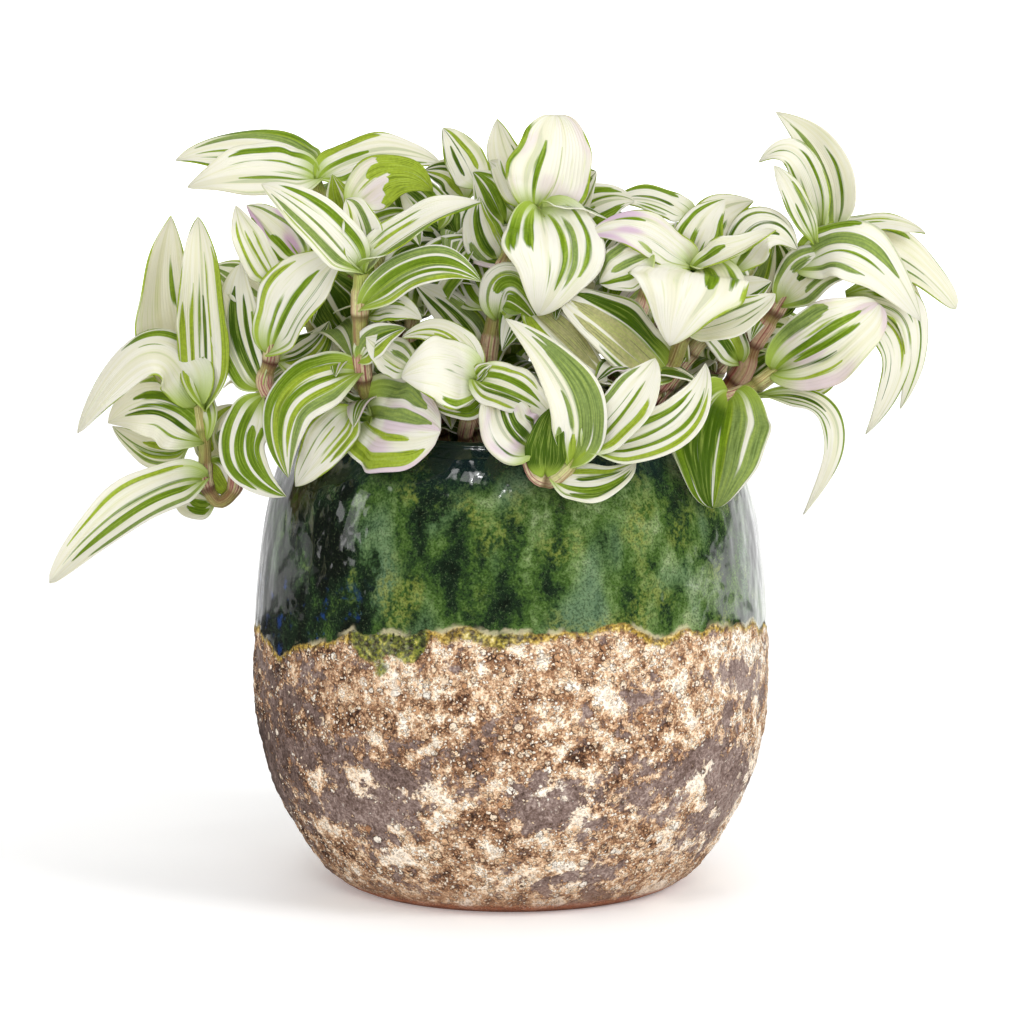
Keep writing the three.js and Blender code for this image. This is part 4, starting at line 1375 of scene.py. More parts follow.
         (20, 14, 0, 80, FRESH), (60, 20, 0, 70, SILVER))),
    Leaf("right_leaf_2", (99, -15, 208.5), (122, -12, 205.0), (141.5, -12, 187.5), 20, 0.3, (0.2, -0.6, 0.8),
         14, slim=0.85, bands=((-80, 30, 0, 60, FRESH), (10, 10, 10, 80, SILVER), (60, 10, 40, 90, FRESH))),
    Leaf("right_leaf_3", (102, -14, 210), (100.5, -9, 233), (84, -8, 250), 16, 0.4, (-0.3, -0.9, 0.3), 12, 10,
         bands=((-30, 26, 0, 95, SILVER), (35, 22, 0, 70, FRESH), (-70, 12, 0, 70, FRESH),
         (2, 8, 0, 60, FRESH))),
    Leaf("right_leaf_4", (84, -26, 169.5), (103.3, -38, 182.8), (116, -31, 192), 26, 0.37, (0.1, -0.9, 0.4),
         10, 8, blush=0.45, slim=1.0, bands=((-80, 46, 0, 62, SILVER), (-24, 20, 0, 85, FRESH),
         (4, 18, 10, 78, FRESH), (24, 10, 0, 50, DEEP), (60, 10, 0, 50, LIME), (-50, 8, 20, 70, LIME))),
    Leaf("right_leaf_5", (78, -29, 161.5), (100.5, -38, 155), (92.5, -37, 125.5), 10, 0.4, (0.5, -0.7, 0.5),
         20, 2),
    Leaf("back_left_leaf_1", (-56, 68, 194), (-68, 74, 204), (-84, 76, 198), 18, 0.4, (-0.3, 0.6, 0.75), 10,
         -12),
    Leaf("back_left_leaf_2", (-56, 69, 190), (-48, 88, 192), (-38, 98, 176), 20, 0.5, (0.1, 0.7, 0.7), 8,
         -15),
    Leaf("back_leaf_1", (8, 90, 146), (22, 100, 146), (32, 100, 128), 18, 0.5, (0.4, 0.8, 0.45), 8, -15),
    Leaf("back_leaf_2", (1, 75, 160.5), (-16, 92, 160), (-26, 96, 138), 19, 0.4, (-0.3, 0.85, 0.45), 8, -15),
    Leaf("back_right_leaf_1", (47, 55, 198), (62, 74, 203), (74, 84, 190), 19, 0.4, (0.4, 0.6, 0.7), 8, -14),
)

# The smaller leaves of the same shoots, which the frame leaves out
SMALL_LEAVES: tuple[Leaf, ...] = (
    Leaf("left_small_1", (-102, -14, 143.6), (-114, -12, 142), (-127, -14, 150), 13, 0.6, main=LIME),
    Leaf("left_small_2", (-94, -14, 125.4), (-102, -14, 127), (-106, -14, 136), 13, 0.9),
    Leaf("left_small_3", (-90, -8, 138), (-94, -8, 147), (-88, -8, 156), 15, 0.75, main=SILVER),
    Leaf("left_small_4", (-97, -15, 138), (-93, -16, 134), (-90, -15, 127), 11, 0.95, main=LIME),
    Leaf("side_small_1", (-65.7, -12, 202), (-74.3, -10, 212.6), (-83.9, -12, 220.7), 14, 0.3,
         (0.1, -0.9, 0.45), blush=1.0),
    Leaf("side_small_2", (-74.4, -22, 172), (-64, -22, 175), (-57.6, -22, 185), 14, 0.75, main=DEEP),
    Leaf("side_small_3", (-78, -16, 190), (-86, -14, 197), (-95, -12, 201), 14, 0.6, main=SILVER),
    Leaf("side_small_4", (-50, -10, 179), (-56, -12, 190), (-62, -12, 200), 21, 0.95, main=DEEP),
    Leaf("fan_small_1", (-46.4, -46, 203), (-48, -44, 218.8), (-52, -42, 226.7), 15, 0.3, (0.1, -0.7, 0.7),
         20, 20, main=LIME),
    Leaf("fan_small_2", (-50, -45, 160), (-59.4, -49, 149.2), (-68, -38, 134.8), 16, 0.3, main=LIME),
    Leaf("fan_small_3", (-44, -44, 190), (-36, -52, 194), (-28, -52, 190), 10, 0.3),
    Leaf("fan_small_4", (-47, -47, 177), (-42, -54, 184), (-33, -56, 188), 11, 0.95, main=LIME),
    Leaf("crown_small_1", (10, -38, 223.8), (20, -38, 223.5), (30, -38, 220), 10, 0.85, (0, 0, 1), main=DEEP),
    Leaf("crown_small_2", (-4, -41, 189), (0, -47, 199), (9, -47, 188), 17, 0.95),
    Leaf("crown_small_3", (4, -30, 218), (0, -24, 230), (-7, -22, 236), 10, 0.3),
    Leaf("crown_small_4", (-3, -30, 205), (-9, -28, 214), (-10, -24, 225)),
    Leaf("crown_small_5", (5, -28, 200), (2, -24, 210), (-8, -22, 214), 20, 0.95, main=DEEP),
    Leaf("crown_small_6", (22, -26, 206), (26, -24, 213), (34, -22, 214), 13, 0.8, main=DEEP),
    Leaf("crown_small_7", (12, -24, 216), (20, -24, 227), (27, -24, 233), 15, 0.7, main=DEEP),
    Leaf("crown_small_8", (18, -20, 213), (28, -20, 222), (39, -20, 223), 15),
    Leaf("crown_left_small_1", (-44, 20, 176), (-56, 30, 186), (-68, 34, 182), 16, 0.6, (-0.3, 0.4, 0.85)),
    Leaf("crown_left_small_2", (-50, 22, 190), (-40, 34, 200), (-28, 40, 196), 17, 0.5, (0.3, 0.5, 0.8)),
    Leaf("crown_left_small_3", (-56, 21, 205), (-66, 30, 213), (-76, 32, 210), 15, 0.55, (-0.3, 0.3, 0.9)),
    Leaf("crown_left_small_4", (-60, 20, 216), (-52, 30, 224), (-40, 36, 222), 16, 0.5, (0.2, 0.4, 0.9)),
    Leaf("crown_left_small_5", (-52, 18, 208), (-54, 4, 218), (-57, 0, 229), 12, 0.95, main=LIME),
    Leaf("crown_small_9", (22, -16, 205), (30, -16, 213), (38, -14, 217), 15, 0.93, main=DEEP),
    Leaf("low_small_1", (-31, -52, 174.6), (-38.5, -53, 179.7), (-45.4, -55, 185), 13, 0.3, (-0.2, -0.9, 0.4),
         main=SILVER),
    Leaf("low_small_2", (-9.7, -60, 170.3), (-15.3, -63, 164.7), (-27.2, -62, 167.4), 11),
    Leaf("low_small_3", (-11.5, -61, 172), (-9, -64, 176), (-6, -64, 177.5), 5, 0.2, main=LIME),
    Leaf("low_small_4", (-43.5, -44, 158), (-50.6, -44, 159.4), (-58.5, -44, 167.3), 14, 0.8, main=DEEP),
    Leaf("front_small_1", (6, -76.8, 153.5), (-1, -77, 160.5), (-3, -68, 169), 19, 0.4, (0, -0.95, 0.3),
         blush=0.6, slim=0.75, bands=((-62, 14, 0, 80, DEEP), (-2, 20, 0, 100, DEEP), (34, 22, 0, 100, DEEP),
         (72, 18, 0, 60, DEEP))),
    Leaf("front_small_2", (10.5, -78.8, 146), (11, -81.5, 156), (13, -79, 167), 13, 0.95,
         bands=((0, 240, 0, 100, DEEP),)),
    Leaf("middle_small_1", (3.4, -42, 195), (19, -56, 181.4), (30, -58, 171.6), 14, 0.3,
         bands=((60, 60, 5, 95, LIME), (-10, 50, 0, 90, STRAW), (-65, 40, 0, 90, STRAW))),
    Leaf("middle_small_2", (56.3, -36, 206), (60, -38, 217), (67.3, -36, 225.8), 15, 0.3),
    Leaf("middle_small_3", (57.5, -10, 215), (44.8, -10, 222.2), (31, -10, 221.2), 14, 0.35, (0, -0.5, 0.85)),
    Leaf("middle_small_4", (44.2, -50, 210), (34.7, -52, 206), (27.8, -50, 201.3), 17, 0.4,
         (-0.1, -0.85, 0.5), main=SILVER),
    Leaf("middle_small_5", (70, -24, 200), (79.7, -24, 214.2), (90.4, -24, 208.2), 18, 0.3, (0, -0.7, 0.7),
         main=DEEP),
    Leaf("middle_small_6", (61.2, -28, 186), (70.7, -28, 193), (82.3, -28, 198.5), 16, 0.7, main=DEEP),
    Leaf("top_small_1", (-14.7, 0, 220.9), (-18.8, 0, 228), (-27.8, 0, 230), main=DEEP),
    Leaf("top_small_2", (-10.5, -4, 224.8), (-15.6, -4, 235.4), (-21.7, -4, 244.4), 14, 0.35,
         (0.3, -0.9, 0.3), main=DEEP),
    Leaf("middle_small_7", (66, -20, 205), (65, -14, 216), (77, -12, 222), 17, 0.35),
    Leaf("top_small_3", (-51, -20, 219.9), (-37.7, -20, 230.8), (-24.7, -20, 226.3), 17, 0.3, blush=0.3,
         bands=((-82, 54, 40, 100, LIME), (-40, 48, 26, 100, LIME), (2, 52, 42, 100, LIME),
         (42, 44, 30, 100, LIME), (82, 52, 22, 100, LIME), (-16, 12, 10, 60, LIME))),
    Leaf("top_small_6", (-46, -6, 196), (-40, -6, 208), (-24, -4, 214), 24, 0.95),
    Leaf("top_small_7", (-56, 0, 194), (-58, 0, 206), (-54, 0, 217), 19, 0.95, main=DEEP),
    Leaf("top_small_8", (-34, -22, 196), (-30, -22, 205), (-20, -20, 208), 16, 0.95, main=DEEP),
    Leaf("top_small_9", (-2, -20, 216), (-6, -20, 226), (-12, -18, 232), 14, 0.7),
    Leaf("top_small_10", (-24, -14, 213), (-28, -14, 222), (-36, -12, 227), 16, 0.9),
    Leaf("top_small_12", (-20, -16, 203), (-26, -16, 212), (-32, -14, 217), 15, 0.95, main=DEEP),
    Leaf("top_small_13", (-33, 16, 205), (-36, 16, 214), (-38, 15, 223), 15, 0.95, main=DEEP),
    Leaf("top_small_4", (-9.2, -34, 177.7), (-17.7, -34, 188.9), (-30.3, -34, 198.6), 16, 0.7,
         (0.3, -0.8, 0.5), main=DEEP),
    Leaf("top_small_5", (-30, -30, 188), (-22, -30, 204), (-10, -28, 212), 18, 0.75, (0.1, -0.8, 0.6)),
    Leaf("right_small_1", (98.6, -16, 212), (91, -16, 236), (78.5, -16, 235), 11, 0.3, (-0.3, -0.8, 0.5)),
    Leaf("right_small_2", (96, -22, 210), (89, -22, 225.4), (83, -22, 234.7), 8, 0.25),
    Leaf("right_small_3", (100, -12, 211), (117.2, -12, 215), (131.5, -12, 211.7), 10, 0.25, (0, -0.5, 0.87)),
    Leaf("right_small_4", (84, -20, 168.4), (96.4, -20, 165.4), (103, -20, 170.2), 12, 0.95, main=LIME),
    Leaf("right_small_5", (106, -22, 193), (126.5, -22, 186.2), (123.6, -22, 157), 14, 0.35,
         (0.5, -0.7, 0.5)),
    Leaf("right_small_6", (106, -26, 190), (121.5, -26, 176), (112.5, -26, 149.5), 12, 0.35,
         (0.4, -0.8, 0.5)),
    Leaf("right_small_9", (100, -16, 206), (120, -18, 198), (131.5, -16, 184), 12, 0.25, (0, -0.6, 0.8)),
    Leaf("right_small_10", (86, -20, 190), (98, -26, 203), (115, -26, 202), 18, 0.6, (-0.1, -0.8, 0.5),
         main=SILVER),
    Leaf("right_small_11", (80, -14, 184), (84, -12, 197), (84, -10, 209), 17, 0.95, main=DEEP),
    Leaf("right_small_12", (72, -12, 162), (78, -12, 168), (87, -12, 174), 15, 0.85, main=DEEP),
    Leaf("right_small_7", (72, -20, 172), (66, -26, 182), (57, -26, 186), 14, 0.8, main=DEEP),
    Leaf("right_small_8", (74, -18, 174), (84, -10, 180), (92, -8, 176), 14, 0.7),
)

# The shoots behind, and those deep between the others
SHOOTS: tuple[Shoot, ...] = (
    Shoot("rear_left", ((-30, 20, 118), (-44, 30, 150), (-58, 38, 168), (-68, 44, 182), (-72, 46, 196)),
          leaves=7),
    Shoot("rear_middle", ((-6, 22, 118), (-8, 34, 160), (-12, 44, 184), (-14, 50, 204)), leaves=7),
    Shoot("rear_right", ((14, 34, 118), (20, 50, 152), (26, 64, 164), (30, 74, 172), (32, 80, 184)),
          leaves=7),
    Shoot("rear_far_right", ((34, 14, 118), (52, 26, 152), (66, 34, 166), (76, 38, 178), (80, 40, 192)),
          leaves=7),
    Shoot("rear_low_left", ((-34, 22, 118), (-50, 42, 154), (-60, 54, 160), (-68, 62, 158), (-74, 68, 152)),
          leaves=6),
    Shoot("rear_low_right", ((30, 30, 118), (46, 48, 154), (56, 60, 160), (62, 68, 157), (66, 73, 150)),
          leaves=6),
    Shoot("heart_left", ((-16, -4, 118), (-26, -6, 158), (-36, -8, 182), (-42, -10, 204)), 2.3, 10, 42, 0.97,
          0.3, DEEP),
    Shoot("heart_middle", ((2, -6, 118), (-2, -8, 158), (-8, -10, 182), (-14, -12, 206)), 2.3, 10, 42, 0.97,
          0.3, DEEP),
    Shoot("heart_centre", ((10, -4, 118), (14, -6, 158), (20, -8, 182), (24, -10, 206)), 2.3, 10, 42, 0.97,
          0.3, DEEP),
    Shoot("heart_right", ((26, 2, 118), (38, 2, 158), (48, 0, 180), (56, -4, 202)), 2.3, 10, 42, 0.97, 0.3,
          DEEP),
    Shoot("heart_front_left", ((-24, -20, 118), (-30, -24, 155), (-32, -26, 176), (-30, -26, 194)), 2.2, 8,
          36, 0.97, 0.35),
    Shoot("heart_front_middle", ((2, -18, 118), (8, -22, 155), (16, -24, 176), (22, -26, 198)), 2.2, 8, 38,
          0.97, 0.35, DEEP),
    Shoot("heart_front_right", ((28, -12, 118), (40, -18, 150), (52, -22, 168), (64, -24, 184)), 2.2, 8, 32,
          0.8, 0.4),
    Shoot("heart_edge_right", ((34, 4, 118), (54, 4, 152), (68, 0, 168), (78, -4, 182)), 2.2, 7, 32, 0.75,
          0.4, DEEP),
    Shoot("heart_edge_left", ((-30, -2, 118), (-46, -6, 152), (-58, -10, 168), (-64, -12, 186)), 2.2, 8, 32,
          0.8, 0.35, DEEP),
    Shoot("heart_low_left", ((-22, -18, 118), (-32, -28, 148), (-42, -34, 160), (-50, -34, 170)), 2.0, 6, 26,
          0.85, 0.5, DEEP),
    Shoot("heart_low_middle", ((-6, -24, 118), (-10, -36, 148), (-14, -42, 160), (-20, -44, 172)), 2.0, 6, 26,
          0.8, 0.5, DEEP),
    Shoot("heart_low_right", ((22, -22, 118), (30, -36, 150), (34, -44, 162), (38, -50, 172)), 2.0, 7, 28,
          0.85, 0.5, DEEP),
)


@dataclass
class Plant:
    """The whole plant: its stems and leaves."""

    palette: Palette

    def build(self) -> list[bpy.types.Object]:
        """Builds every stem and leaf. Those that the frame holds take their nodes' places.

        Returns:
            The pieces.
        """
        pieces = []
        for grown in (*FRAME_STEMS, *FRAME_LEAVES):
            grown.in_frame = True
            pieces.append(self._dressed(grown))
            replace_node(pieces[-1])
        further = [grown for shoot in SHOOTS for grown in (shoot.stem(), *shoot.grow())]
        return pieces + [self._dressed(grown) for grown in (*SMALL_LEAVES, *further)]

    def _dressed(self, grown: Leaf | Stem) -> bpy.types.Object:
        """Builds a leaf or a stem and gives it its materials.

        Args:
            grown: The leaf or stem.

        Returns:
            Its piece.
        """
        piece = grown.build()
        self.palette.dress(piece, *grown.FINISHES)
        return piece


class PotFace(IntEnum):
    """The sides of the pot, as places in its list of materials."""

    OUTSIDE = 0
    LINING = 1
    FOOT = 2


@dataclass
class GlazedPot:
    """The round cover pot, with its crusted lower half, its glaze and its rounded lip."""

    palette: Palette
    outline: tuple[tuple[float, float], ...] = (
        (55.5, 1.8), (60.5, 6), (69.7, 19), (77.2, 33.5), (80.6, 46), (82.4, 60), (82.5, 74), (81.8, 92),
        (80, 110), (77.6, 124), (75, 134), (71.5, 142), (67.6, 148.6),
    )
    foot_radii: tuple[float, ...] = (0, 18, 36, 46, 51.5)
    floor_radii: tuple[float, ...] = (36, 18, 0)
    floor_radius: float = 53.5
    floor_thickness: float = 8.0
    rim_radius: float = 62.6
    rim_height: float = 152.8
    lip_round: float = 2.2
    lip_steps: int = 8
    wall: float = 5.5
    sides: int = 400
    row: float = 1.15
    inner_row: float = 4.0
    border: float = 84.5
    border_front: float = 12.0
    sag_angle: float = -60.0
    sag_width: float = 13.0
    sag_depth: float = 7.0
    # The height, the fineness and the offset of each wave of the glaze's lower edge
    edge_waves: tuple[Point, ...] = ((3.4, 3.1, 7), (3.6, 8.0, 2), (1.0, 24.0, 0))
    # What stands for the distance from that edge on the glazed inside and on the bare foot
    glazed_inside: float = 30.0
    bare_foot: float = -30.0
    crust_relief: float = 0.8
    glaze_relief: float = 0.55
    # The angle, width and depth of each patch of yellow grains under the glaze
    golds: tuple[Point, ...] = ((-28.0, 10.0, 9.5), (-4.0, 14.0, 4.4), (32.0, 10.0, 2.8))
    thin_gold: float = 1.5

    def profile(self) -> list[tuple[float, float]]:
        """Draws the section, from the middle of the underside round the lip to the floor.

        Returns:
            Its radii and heights.
        """
        outside = Curve([(r, 0.0, z) for r, z in self.outline])
        rows = round(outside.length / self.row)
        points = [outside.at(outside.length * index / rows)[0] for index in range(rows + 1)]
        lip_height = self.rim_height - self.lip_round
        for step in range(self.lip_steps + 1):
            turn = math.pi * step / self.lip_steps
            across, up = self.lip_round * math.cos(turn), self.lip_round * math.sin(turn)
            points.append(Vector((self.rim_radius + across, 0, lip_height + up)))
        inside = [(r - self.wall, 0.0, z) for r, z in self.outline if z > self.floor_thickness + self.wall]
        inner = Curve([(self.floor_radius, 0.0, self.floor_thickness), *inside])
        rows = round(inner.length / self.inner_row)
        points += [inner.at(inner.length * (1 - index / rows))[0] for index in range(rows + 1)]
        foot = [(radius, 0.0) for radius in self.foot_radii]
        floor = [(radius, self.floor_thickness) for radius in self.floor_radii]
        return [*foot, *((point.x, point.z) for point in points), *floor]

    def edge_of_glaze(self, angle: float) -> float:
        """Finds the glaze's lower edge.

        Args:
            angle: The angle from the front, in radians.

        Returns:
            The height of the edge.
        """
        degrees = math.degrees(angle)
        height = self.border + self.border_front * max(math.cos(angle), 0) ** 1.3
        height -= self.sag_depth * math.exp(-(((degrees - self.sag_angle) / self.sag_width) ** 2))
        ring = Vector((math.cos(angle), math.sin(angle), 0))
        for rise, fineness, offset in self.edge_waves:
            height += rise * clouds(ring, fineness, (0, 0, offset))
        return height

    def gold(self, angle: float) -> float:
        """Finds how far the yellow grains reach under the glaze.

        Args:
            angle: The angle from the front, in radians.

        Returns:
            Their reach, in millimetres.
        """
        degrees = math.degrees(angle)
        reach = self.thin_gold + 1.2 * noise.noise((degrees * 0.11, 3.0, 1.0))
        for middle, width, depth in self.golds:
            reach = max(reach, depth * math.exp(-(((degrees - middle) / width) ** 4)))
        return reach

    def cover(self, place: Vector, rubble: float) -> float:
        """Finds how far the clumps of beads cover the slip.

        Args:
            place: The place on the pot, in millimetres.
            rubble: A rough noise at that place.

        Returns:
            The cover, from about 0 to 1.
        """
        flat = Vector((place.x, place.y, place.z * 1.4))
        cloud = clouds(flat, 0.036, (3, 1, 4)) + 0.6 * clouds(flat, 0.09, (7, 7, 2))
        band = smooth(26, 34, place.z) * (1 - smooth(46, 56, place.z))
        left = smooth(-48, -70, place.x)
        right = smooth(44, 68, place.x) * smooth(54, 66, place.z)
        base = 0.72 + 0.2 * smooth(56, 68, place.z) - 0.45 * band - 0.2 * left - 0.25 * right
        return base + 0.8 * cloud + 0.3 * rubble

    def bright(self, place: Vector) -> float:
        """Finds how light the crust is, with painted side light: shade on the left, a highlight on the right.

        Args:
            place: The place on the pot, in millimetres.

        Returns:
            Its lightness, about 0 where it is middling.
        """
        patches = clouds(place, 0.13, (5, 2, 8)) + 0.5 * clouds(place, 0.31)
        # painted side light: the left side is darkened as shade and the right side lightened as if lit by the
        # key lamp
        sides = 0.5 * smooth(40, 75, place.x) - 0.8 * smooth(-40, -78, place.x)
        return patches + sides + 0.5 * smooth(58, 74, place.z) + 0.4 * smooth(46, 32, place.z)

    def white(self, place: Vector) -> float:
        """Finds the crust's pale patches, thinned towards the left side as painted shade.

        Args:
            place: The place on the pot, in millimetres.

        Returns:
            How far the place lies in one.
        """
        spots = 1.3 * clouds(place, 0.15, (1, 9, 3))
        patches = 1.5 * clouds(Vector((place.x, place.y, place.z * 1.5)), 0.085, (4, 4, 9))
        # the last term thins the pale patches towards the left, painting that side darker as shade
        return spots + (patches + 0.10 - spots) * smooth(62, 44, place.z) - 0.7 * smooth(-45, -72, place.x)

    def build(self) -> list[bpy.types.Object]:
        """Spins the section and raises the crust and the glaze on it.

        Returns:
            The pot, as the only piece.
        """
        mesh = turned(self.profile(), self.sides)
        mesh.normal_update()
        layers = values_of(mesh, "above", "olive", "cover", "bright", "white")
        inside = self._inner_height()
        for vert in mesh.verts:
            place = vert.co.copy()
            angle = math.atan2(place.x, -place.y)
            gap = place.z - self.edge_of_glaze(angle)
            outer = math.hypot(place.x, place.y) > inside(place.z) and place.z > 1.0
            vert[layers["above"]] = gap if outer else (self.glazed_inside if place.z > 5 else self.bare_foot)
            if not outer:
                continue
            rubble = clouds(place, 0.24) + 0.6 * clouds(place, 0.55)
            white = self.white(place)
            cover = self.cover(place, rubble) + 0.5 * smooth(0.0, 0.6, white)
            vert[layers["olive"]] = self.gold(angle) * (1 + 0.5 * clouds(place, 0.16))
            vert[layers["cover"]] = cover
            vert[layers["bright"]] = self.bright(place)
            vert[layers["white"]] = white
            crusted = 1 - smooth(-0.8, 0.8, gap)
            grit = 0.5 * rubble + 0.35 * abs(clouds(place, 0.9))
            rise = crusted * self.crust_relief * (grit + 0.6 * cover - 0.35)
            rise += (1 - crusted) * self.glaze_relief * (0.35 + 0.35 * clouds(place, 0.045))
            rise *= smooth(0.5, 5, place.z) * (1 - smooth(143, 150, place.z))
            vert.co = place + vert.normal * rise
        for face in mesh.faces:
            middle = face.calc_center_median()
            radius = math.hypot(middle.x, middle.y)
            outer = radius > inside(middle.z) and middle.z > 0.9
            inner = PotFace.FOOT if middle.z < 2 else PotFace.LINING
            face.material_index = PotFace.OUTSIDE if outer else inner
        piece = piece_from("pot_look", mesh)
        self.palette.dress(piece, "pot", "lining", "clay")
        replace_node(piece)
        return [piece]

    def _inner_height(self) -> Callable[[float], float]:
        """Draws the line that parts the outside from the inside.

        Returns:
            A function from a height to the line's radius.
        """
        steps = [(r - self.wall / 2, z) for r, z in self.outline] + [(self.rim_radius, self.rim_height + 1)]

        def inner(height: float) -> float:
            """Finds the line's radius.

            Args:
                height: The height.

            Returns:
                The radius.
            """
            if height <= steps[0][1]:
                return steps[0][0] - 8
            for (low_r, low_z), (high_r, high_z) in zip(steps, steps[1:]):
                if height <= high_z:
                    return low_r + (high_r - low_r) * (height - low_z) / (high_z - low_z)
            return self.rim_radius

        return inner


@dataclass
class NurseryPot:
    """The thin plastic pot that the plant grows in, standing inside the glazed one."""

    palette: Palette
    floor: float = 8.3
    height: float = 120.0
    top_radius: float = 57.5
    base_radius: float = 43.0
    wall: float = 1.2
    lip: float = 5.0
    lip_width: float = 1.0
    sides: int = 128
    sharp: float = 50.0

    def radius(self, height: float) -> float:
        """Returns the outer radius at a height."""
        return self.base_radius + (self.top_radius - self.base_radius) * (height - self.floor) / self.height

    def build(self) -> list[bpy.types.Object]:
        """Spins the pot's section, with a rolled lip.

        Returns:
            The pot, as the only piece.
        """
        top = self.floor + self.height
        under = top - self.lip
        out = self.top_radius + self.lip_width
        section = [
            (0, self.floor), (self.base_radius - 1.5, self.floor), (self.base_radius, self.floor + 1.5),
            (self.radius(under), under), (out - 0.3, under), (out, under + 0.4), (out, top - 0.5),
            (out - 0.5, top), (self.top_radius - self.wall + 0.4, top),
            (self.radius(top - 1) - self.wall, top - 1),
            (self.base_radius - self.wall, self.floor + self.wall), (0, self.floor + self.wall),
        ]
        piece = piece_from("grow_pot_look", turned(section, self.sides))
        edge = piece.modifiers.new("Edge", "EDGE_SPLIT")
        edge.split_angle = math.radians(self.sharp)
        self.palette.dress(piece, "nursery")
        replace_node(piece)
        return [piece]


@dataclass
class PottingSoil:
    """The plug of soil, rough on top, with bark chips and white grit lying in it."""

    palette: Palette
    top: float = 123.3
    crown: float = 4.0
    bottom: float = 9.8
    top_radius: float = 54.6
    bottom_radius: float = 41.2
    rings: int = 26
    sides: int = 96
    chips: int = 260
    seed: int = 11

    def height(self, radius: float) -> float:
        """Returns the height of the soil's smooth top at a radius."""
        return self.top - self.crown * min(radius / self.top_radius, 1.0) ** 2

    def build(self) -> list[bpy.types.Object]:
        """Builds the plug and what lies on it.

        Returns:
            The plug, the bark chips and the grit.
        """
        section = [(0, self.bottom), (self.bottom_radius, self.bottom)]
        radii = [self.top_radius * (1 - step / self.rings) for step in range(self.rings + 1)]
        mesh = turned(section + [(radius, self.height(radius)) for radius in radii], self.sides)
        for vert in mesh.verts:
            inside = 1 - smooth(self.top_radius - 4, self.top_radius, math.hypot(vert.co.x, vert.co.y))
            if vert.co.z > self.top - self.crown - 0.1:
                vert.co.z += inside * (1.5 * clouds(vert.co, 0.12) + 1.2 * clouds(vert.co, 0.35))
        piece = piece_from("soil_look", mesh)
        self.palette.dress(piece, "soil")
        replace_node(piece)
        chips = self._scatter("bark_chips", "bark", self.chips, 1.1, 2.6)
        return [piece, chips, self._scatter("white_grit", "grit", self.chips // 3, 0.7, 1.3)]

    def _scatter(self, name: str, key: str, count: int, small: float, large: float) -> bpy.types.Object:
        """Strews rough grains on the soil as one piece.

        Args:
            name: The piece's name.
            key: Its finish.
            count: How many grains there are.
            small: The least size of a grain.
            large: The greatest size of a grain.

        Returns:
            The piece.
        """
        draw = random.Random(self.seed + count)
        mesh = bmesh.new()
        for _ in range(count):
            turn, radius = draw.uniform(0, math.tau), (self.top_radius - 3) * math.sqrt(draw.random())
            x, y = radius * math.cos(turn), radius * math.sin(turn)
            size = Vector([draw.uniform(small, large) * part for part in (1, 0.8, 0.5)])
            spin = Matrix.Rotation(draw.uniform(0, math.tau), 4, "Z")
            tilt = Matrix.Rotation(draw.uniform(-0.6, 0.6), 4, "X")
            lift = Matrix.Translation((x, y, self.height(math.hypot(x, y)) + 0.3))
            lay = lift @ spin @ tilt @ Matrix.Diagonal(size.to_4d())
            bmesh.ops.create_icosphere(mesh, subdivisions=1, radius=1, matrix=lay)
        piece = piece_from(name, mesh, flat=True)
        self.palette.dress(piece, key)
        return piece


WHITE = (1.0, 1.0, 1.0, 1.0)


def aim(thing: bpy.types.Object, place: Point, target: Point) -> None:
    """Stands a lamp or a camera at a place and turns it towards a target."""
    thing.location = place
    thing.rotation_euler = (Vector(target) - Vector(place)).to_track_quat("-Z", "Y").to_euler()


@dataclass(frozen=True)
class Lamp:
    """One soft light: its place, its size, its power, whether the glaze shows it and what it looks at."""

    name: str
    place: Point
    size: tuple[float, float]
    power: float
    mirrored: bool = False
    target: Point = (0.0, 0.0, 0.12)

    def build(self) -> None:
        """Puts the lamp in the scene, turned towards its target."""
        data = bpy.data.lights.new(self.name, "AREA")
        data.shape = "RECTANGLE"
        data.size, data.size_y = self.size
        data.energy = self.power
        lamp = link(self.name, data)
        aim(lamp, self.place, self.target)
        lamp.visible_glossy = self.mirrored
        lamp.visible_camera = False


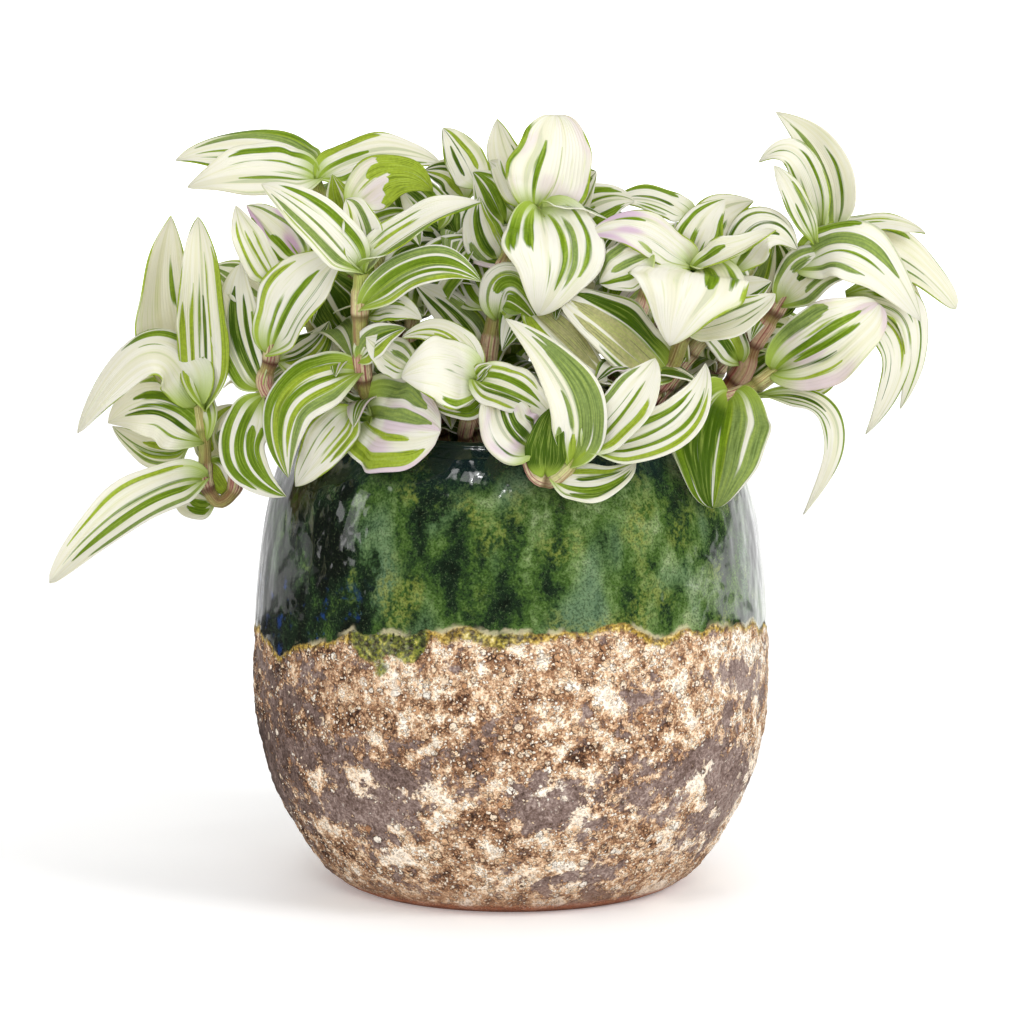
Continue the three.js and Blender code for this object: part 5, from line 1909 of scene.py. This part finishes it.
@dataclass
class Studio:
    """The camera, the pale floor and the soft light."""

    camera_place: Point = (0.0, -2.5, 0.559)
    camera_target: Point = (0.0, 0.0, 0.1198)
    lens: float = 278.0
    shift: float = 1 / 1024
    sight: float = 100.0
    floor_radius: float = 30000.0
    floor_glow: float = 0.19
    paper: tuple[float, float, float, float] = (0.93, 0.93, 0.93, 1.0)
    dark_floor: float = 0.06
    mirrored_left: float = 0.6
    mirrored_right: float = 1.5
    slant: float = 0.1
    sky_glow: float = 0.42
    sky_front: float = 0.05
    sky_back: float = 0.9
    lamps: tuple[Lamp, ...] = (
        Lamp("key_light", (1.8, -1.1, 1.4), (0.8, 0.8), 26.0),
        Lamp("fill_light", (-1.6, -1.6, 1.0), (1.4, 1.4), 8.5),
        Lamp("front_light", (0.2, -2.7, 1.2), (1.6, 1.2), 19.5),
        Lamp("top_light", (0.2, 0.3, 2.2), (1.6, 1.6), 13.5),
        Lamp("back_light", (-0.2, 2.0, 1.2), (1.6, 1.2), 10.0),
        Lamp("window_light", (-0.62, -1.35, 1.75), (0.36, 0.40), 2.6, mirrored=True),
        Lamp("side_light", (-1.5, -0.27, 0.52), (0.20, 0.55), 1.0, mirrored=True),
        Lamp("spark_light", (-0.46, -1.3, 1.66), (0.08, 0.08), 0.9, mirrored=True),
    )

    def camera(self) -> None:
        """Puts the camera where the photograph was taken from."""
        data = bpy.data.cameras.new("camera")
        data.lens = self.lens
        data.shift_x = self.shift
        data.clip_end = self.sight
        camera = link("camera", data)
        aim(camera, self.camera_place, self.camera_target)
        bpy.context.scene.camera = camera

    def build(self) -> None:
        """Builds the floor, the lamps and the sky."""
        mesh = bmesh.new()
        bmesh.ops.create_circle(mesh, cap_ends=True, radius=self.floor_radius, segments=64)
        floor = link("floor", mesh_data("floor", mesh))
        floor.data.materials.append(self._paper())
        for lamp in self.lamps:
            lamp.build()
        self._sky()
        bpy.context.scene.view_settings.view_transform = "Standard"

    def _behind(self, graph: Graph, place: Socket) -> tuple[Socket, Socket]:
        """Returns how far right a place lies, and how far behind a line that slants a little."""
        x, y, _ = graph.parts(place)
        return x, graph.plus(y, graph.times(x, self.slant))

    def _paper(self) -> bpy.types.Material:
        """Makes the floor's paper: white, and dark in front where the glaze mirrors it.

        Returns:
            The material.
        """
        material, graph, shader = Finish("PaleFloor", "floor", 0.9, 0.1).start()
        graph.fill(shader, {"Base Color": self.paper, "Emission Color": WHITE})
        place = graph.place()
        far = graph.add("ShaderNodeVectorMath", {0: place}, operation="LENGTH").outputs["Value"]
        graph.fill(shader, {"Emission Strength": graph.step(far, 0.5, 2.2, self.floor_glow, 1.0)})
        x, behind = self._behind(graph, place)
        bright = graph.step(x, -0.5, 0.5, self.mirrored_left, self.mirrored_right)
        shown = graph.blend(graph.step(behind, 0.37, 0.47), self.dark_floor, bright)
        mirrored = graph.add("ShaderNodeLightPath").outputs["Is Glossy Ray"]
        mirror = graph.add("ShaderNodeEmission", {"Color": WHITE, "Strength": shown}).outputs[0]
        both = graph.add("ShaderNodeMixShader", {0: mirrored, 1: shader.outputs[0], 2: mirror})
        graph.fill(material.node_tree.nodes["Material Output"], {"Surface": both.outputs[0]})
        return material

    def _sky(self) -> None:
        """Makes the sky white to the eye, and dimmer in the glaze."""
        world = bpy.data.worlds.new("studio")
        world.use_nodes = True
        bpy.context.scene.world = world
        graph = Graph(world.node_tree)
        _, behind = self._behind(graph, graph.add("ShaderNodeTexCoord").outputs["Generated"])
        rays = graph.add("ShaderNodeLightPath").outputs
        shown = graph.step(behind, 0.52, 0.66, self.sky_front, self.sky_back)
        level = graph.blend(rays["Is Glossy Ray"], self.sky_glow, shown)
        level = graph.blend(rays["Is Camera Ray"], level, 1.0)
        graph.fill(world.node_tree.nodes["Background"], {"Color": WHITE, "Strength": level})


def main() -> None:
    """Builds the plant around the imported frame."""
    logging.basicConfig(level=logging.INFO, format="%(message)s")
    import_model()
    studio = Studio()
    studio.camera()
    palette = Palette()
    for part in (GlazedPot(palette), NurseryPot(palette), PottingSoil(palette), Plant(palette)):
        for piece in part.build():
            log.info("%s: %d faces", piece.name, len(piece.data.polygons))
    studio.build()
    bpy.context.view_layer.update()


if __name__ == "__main__":
    main()
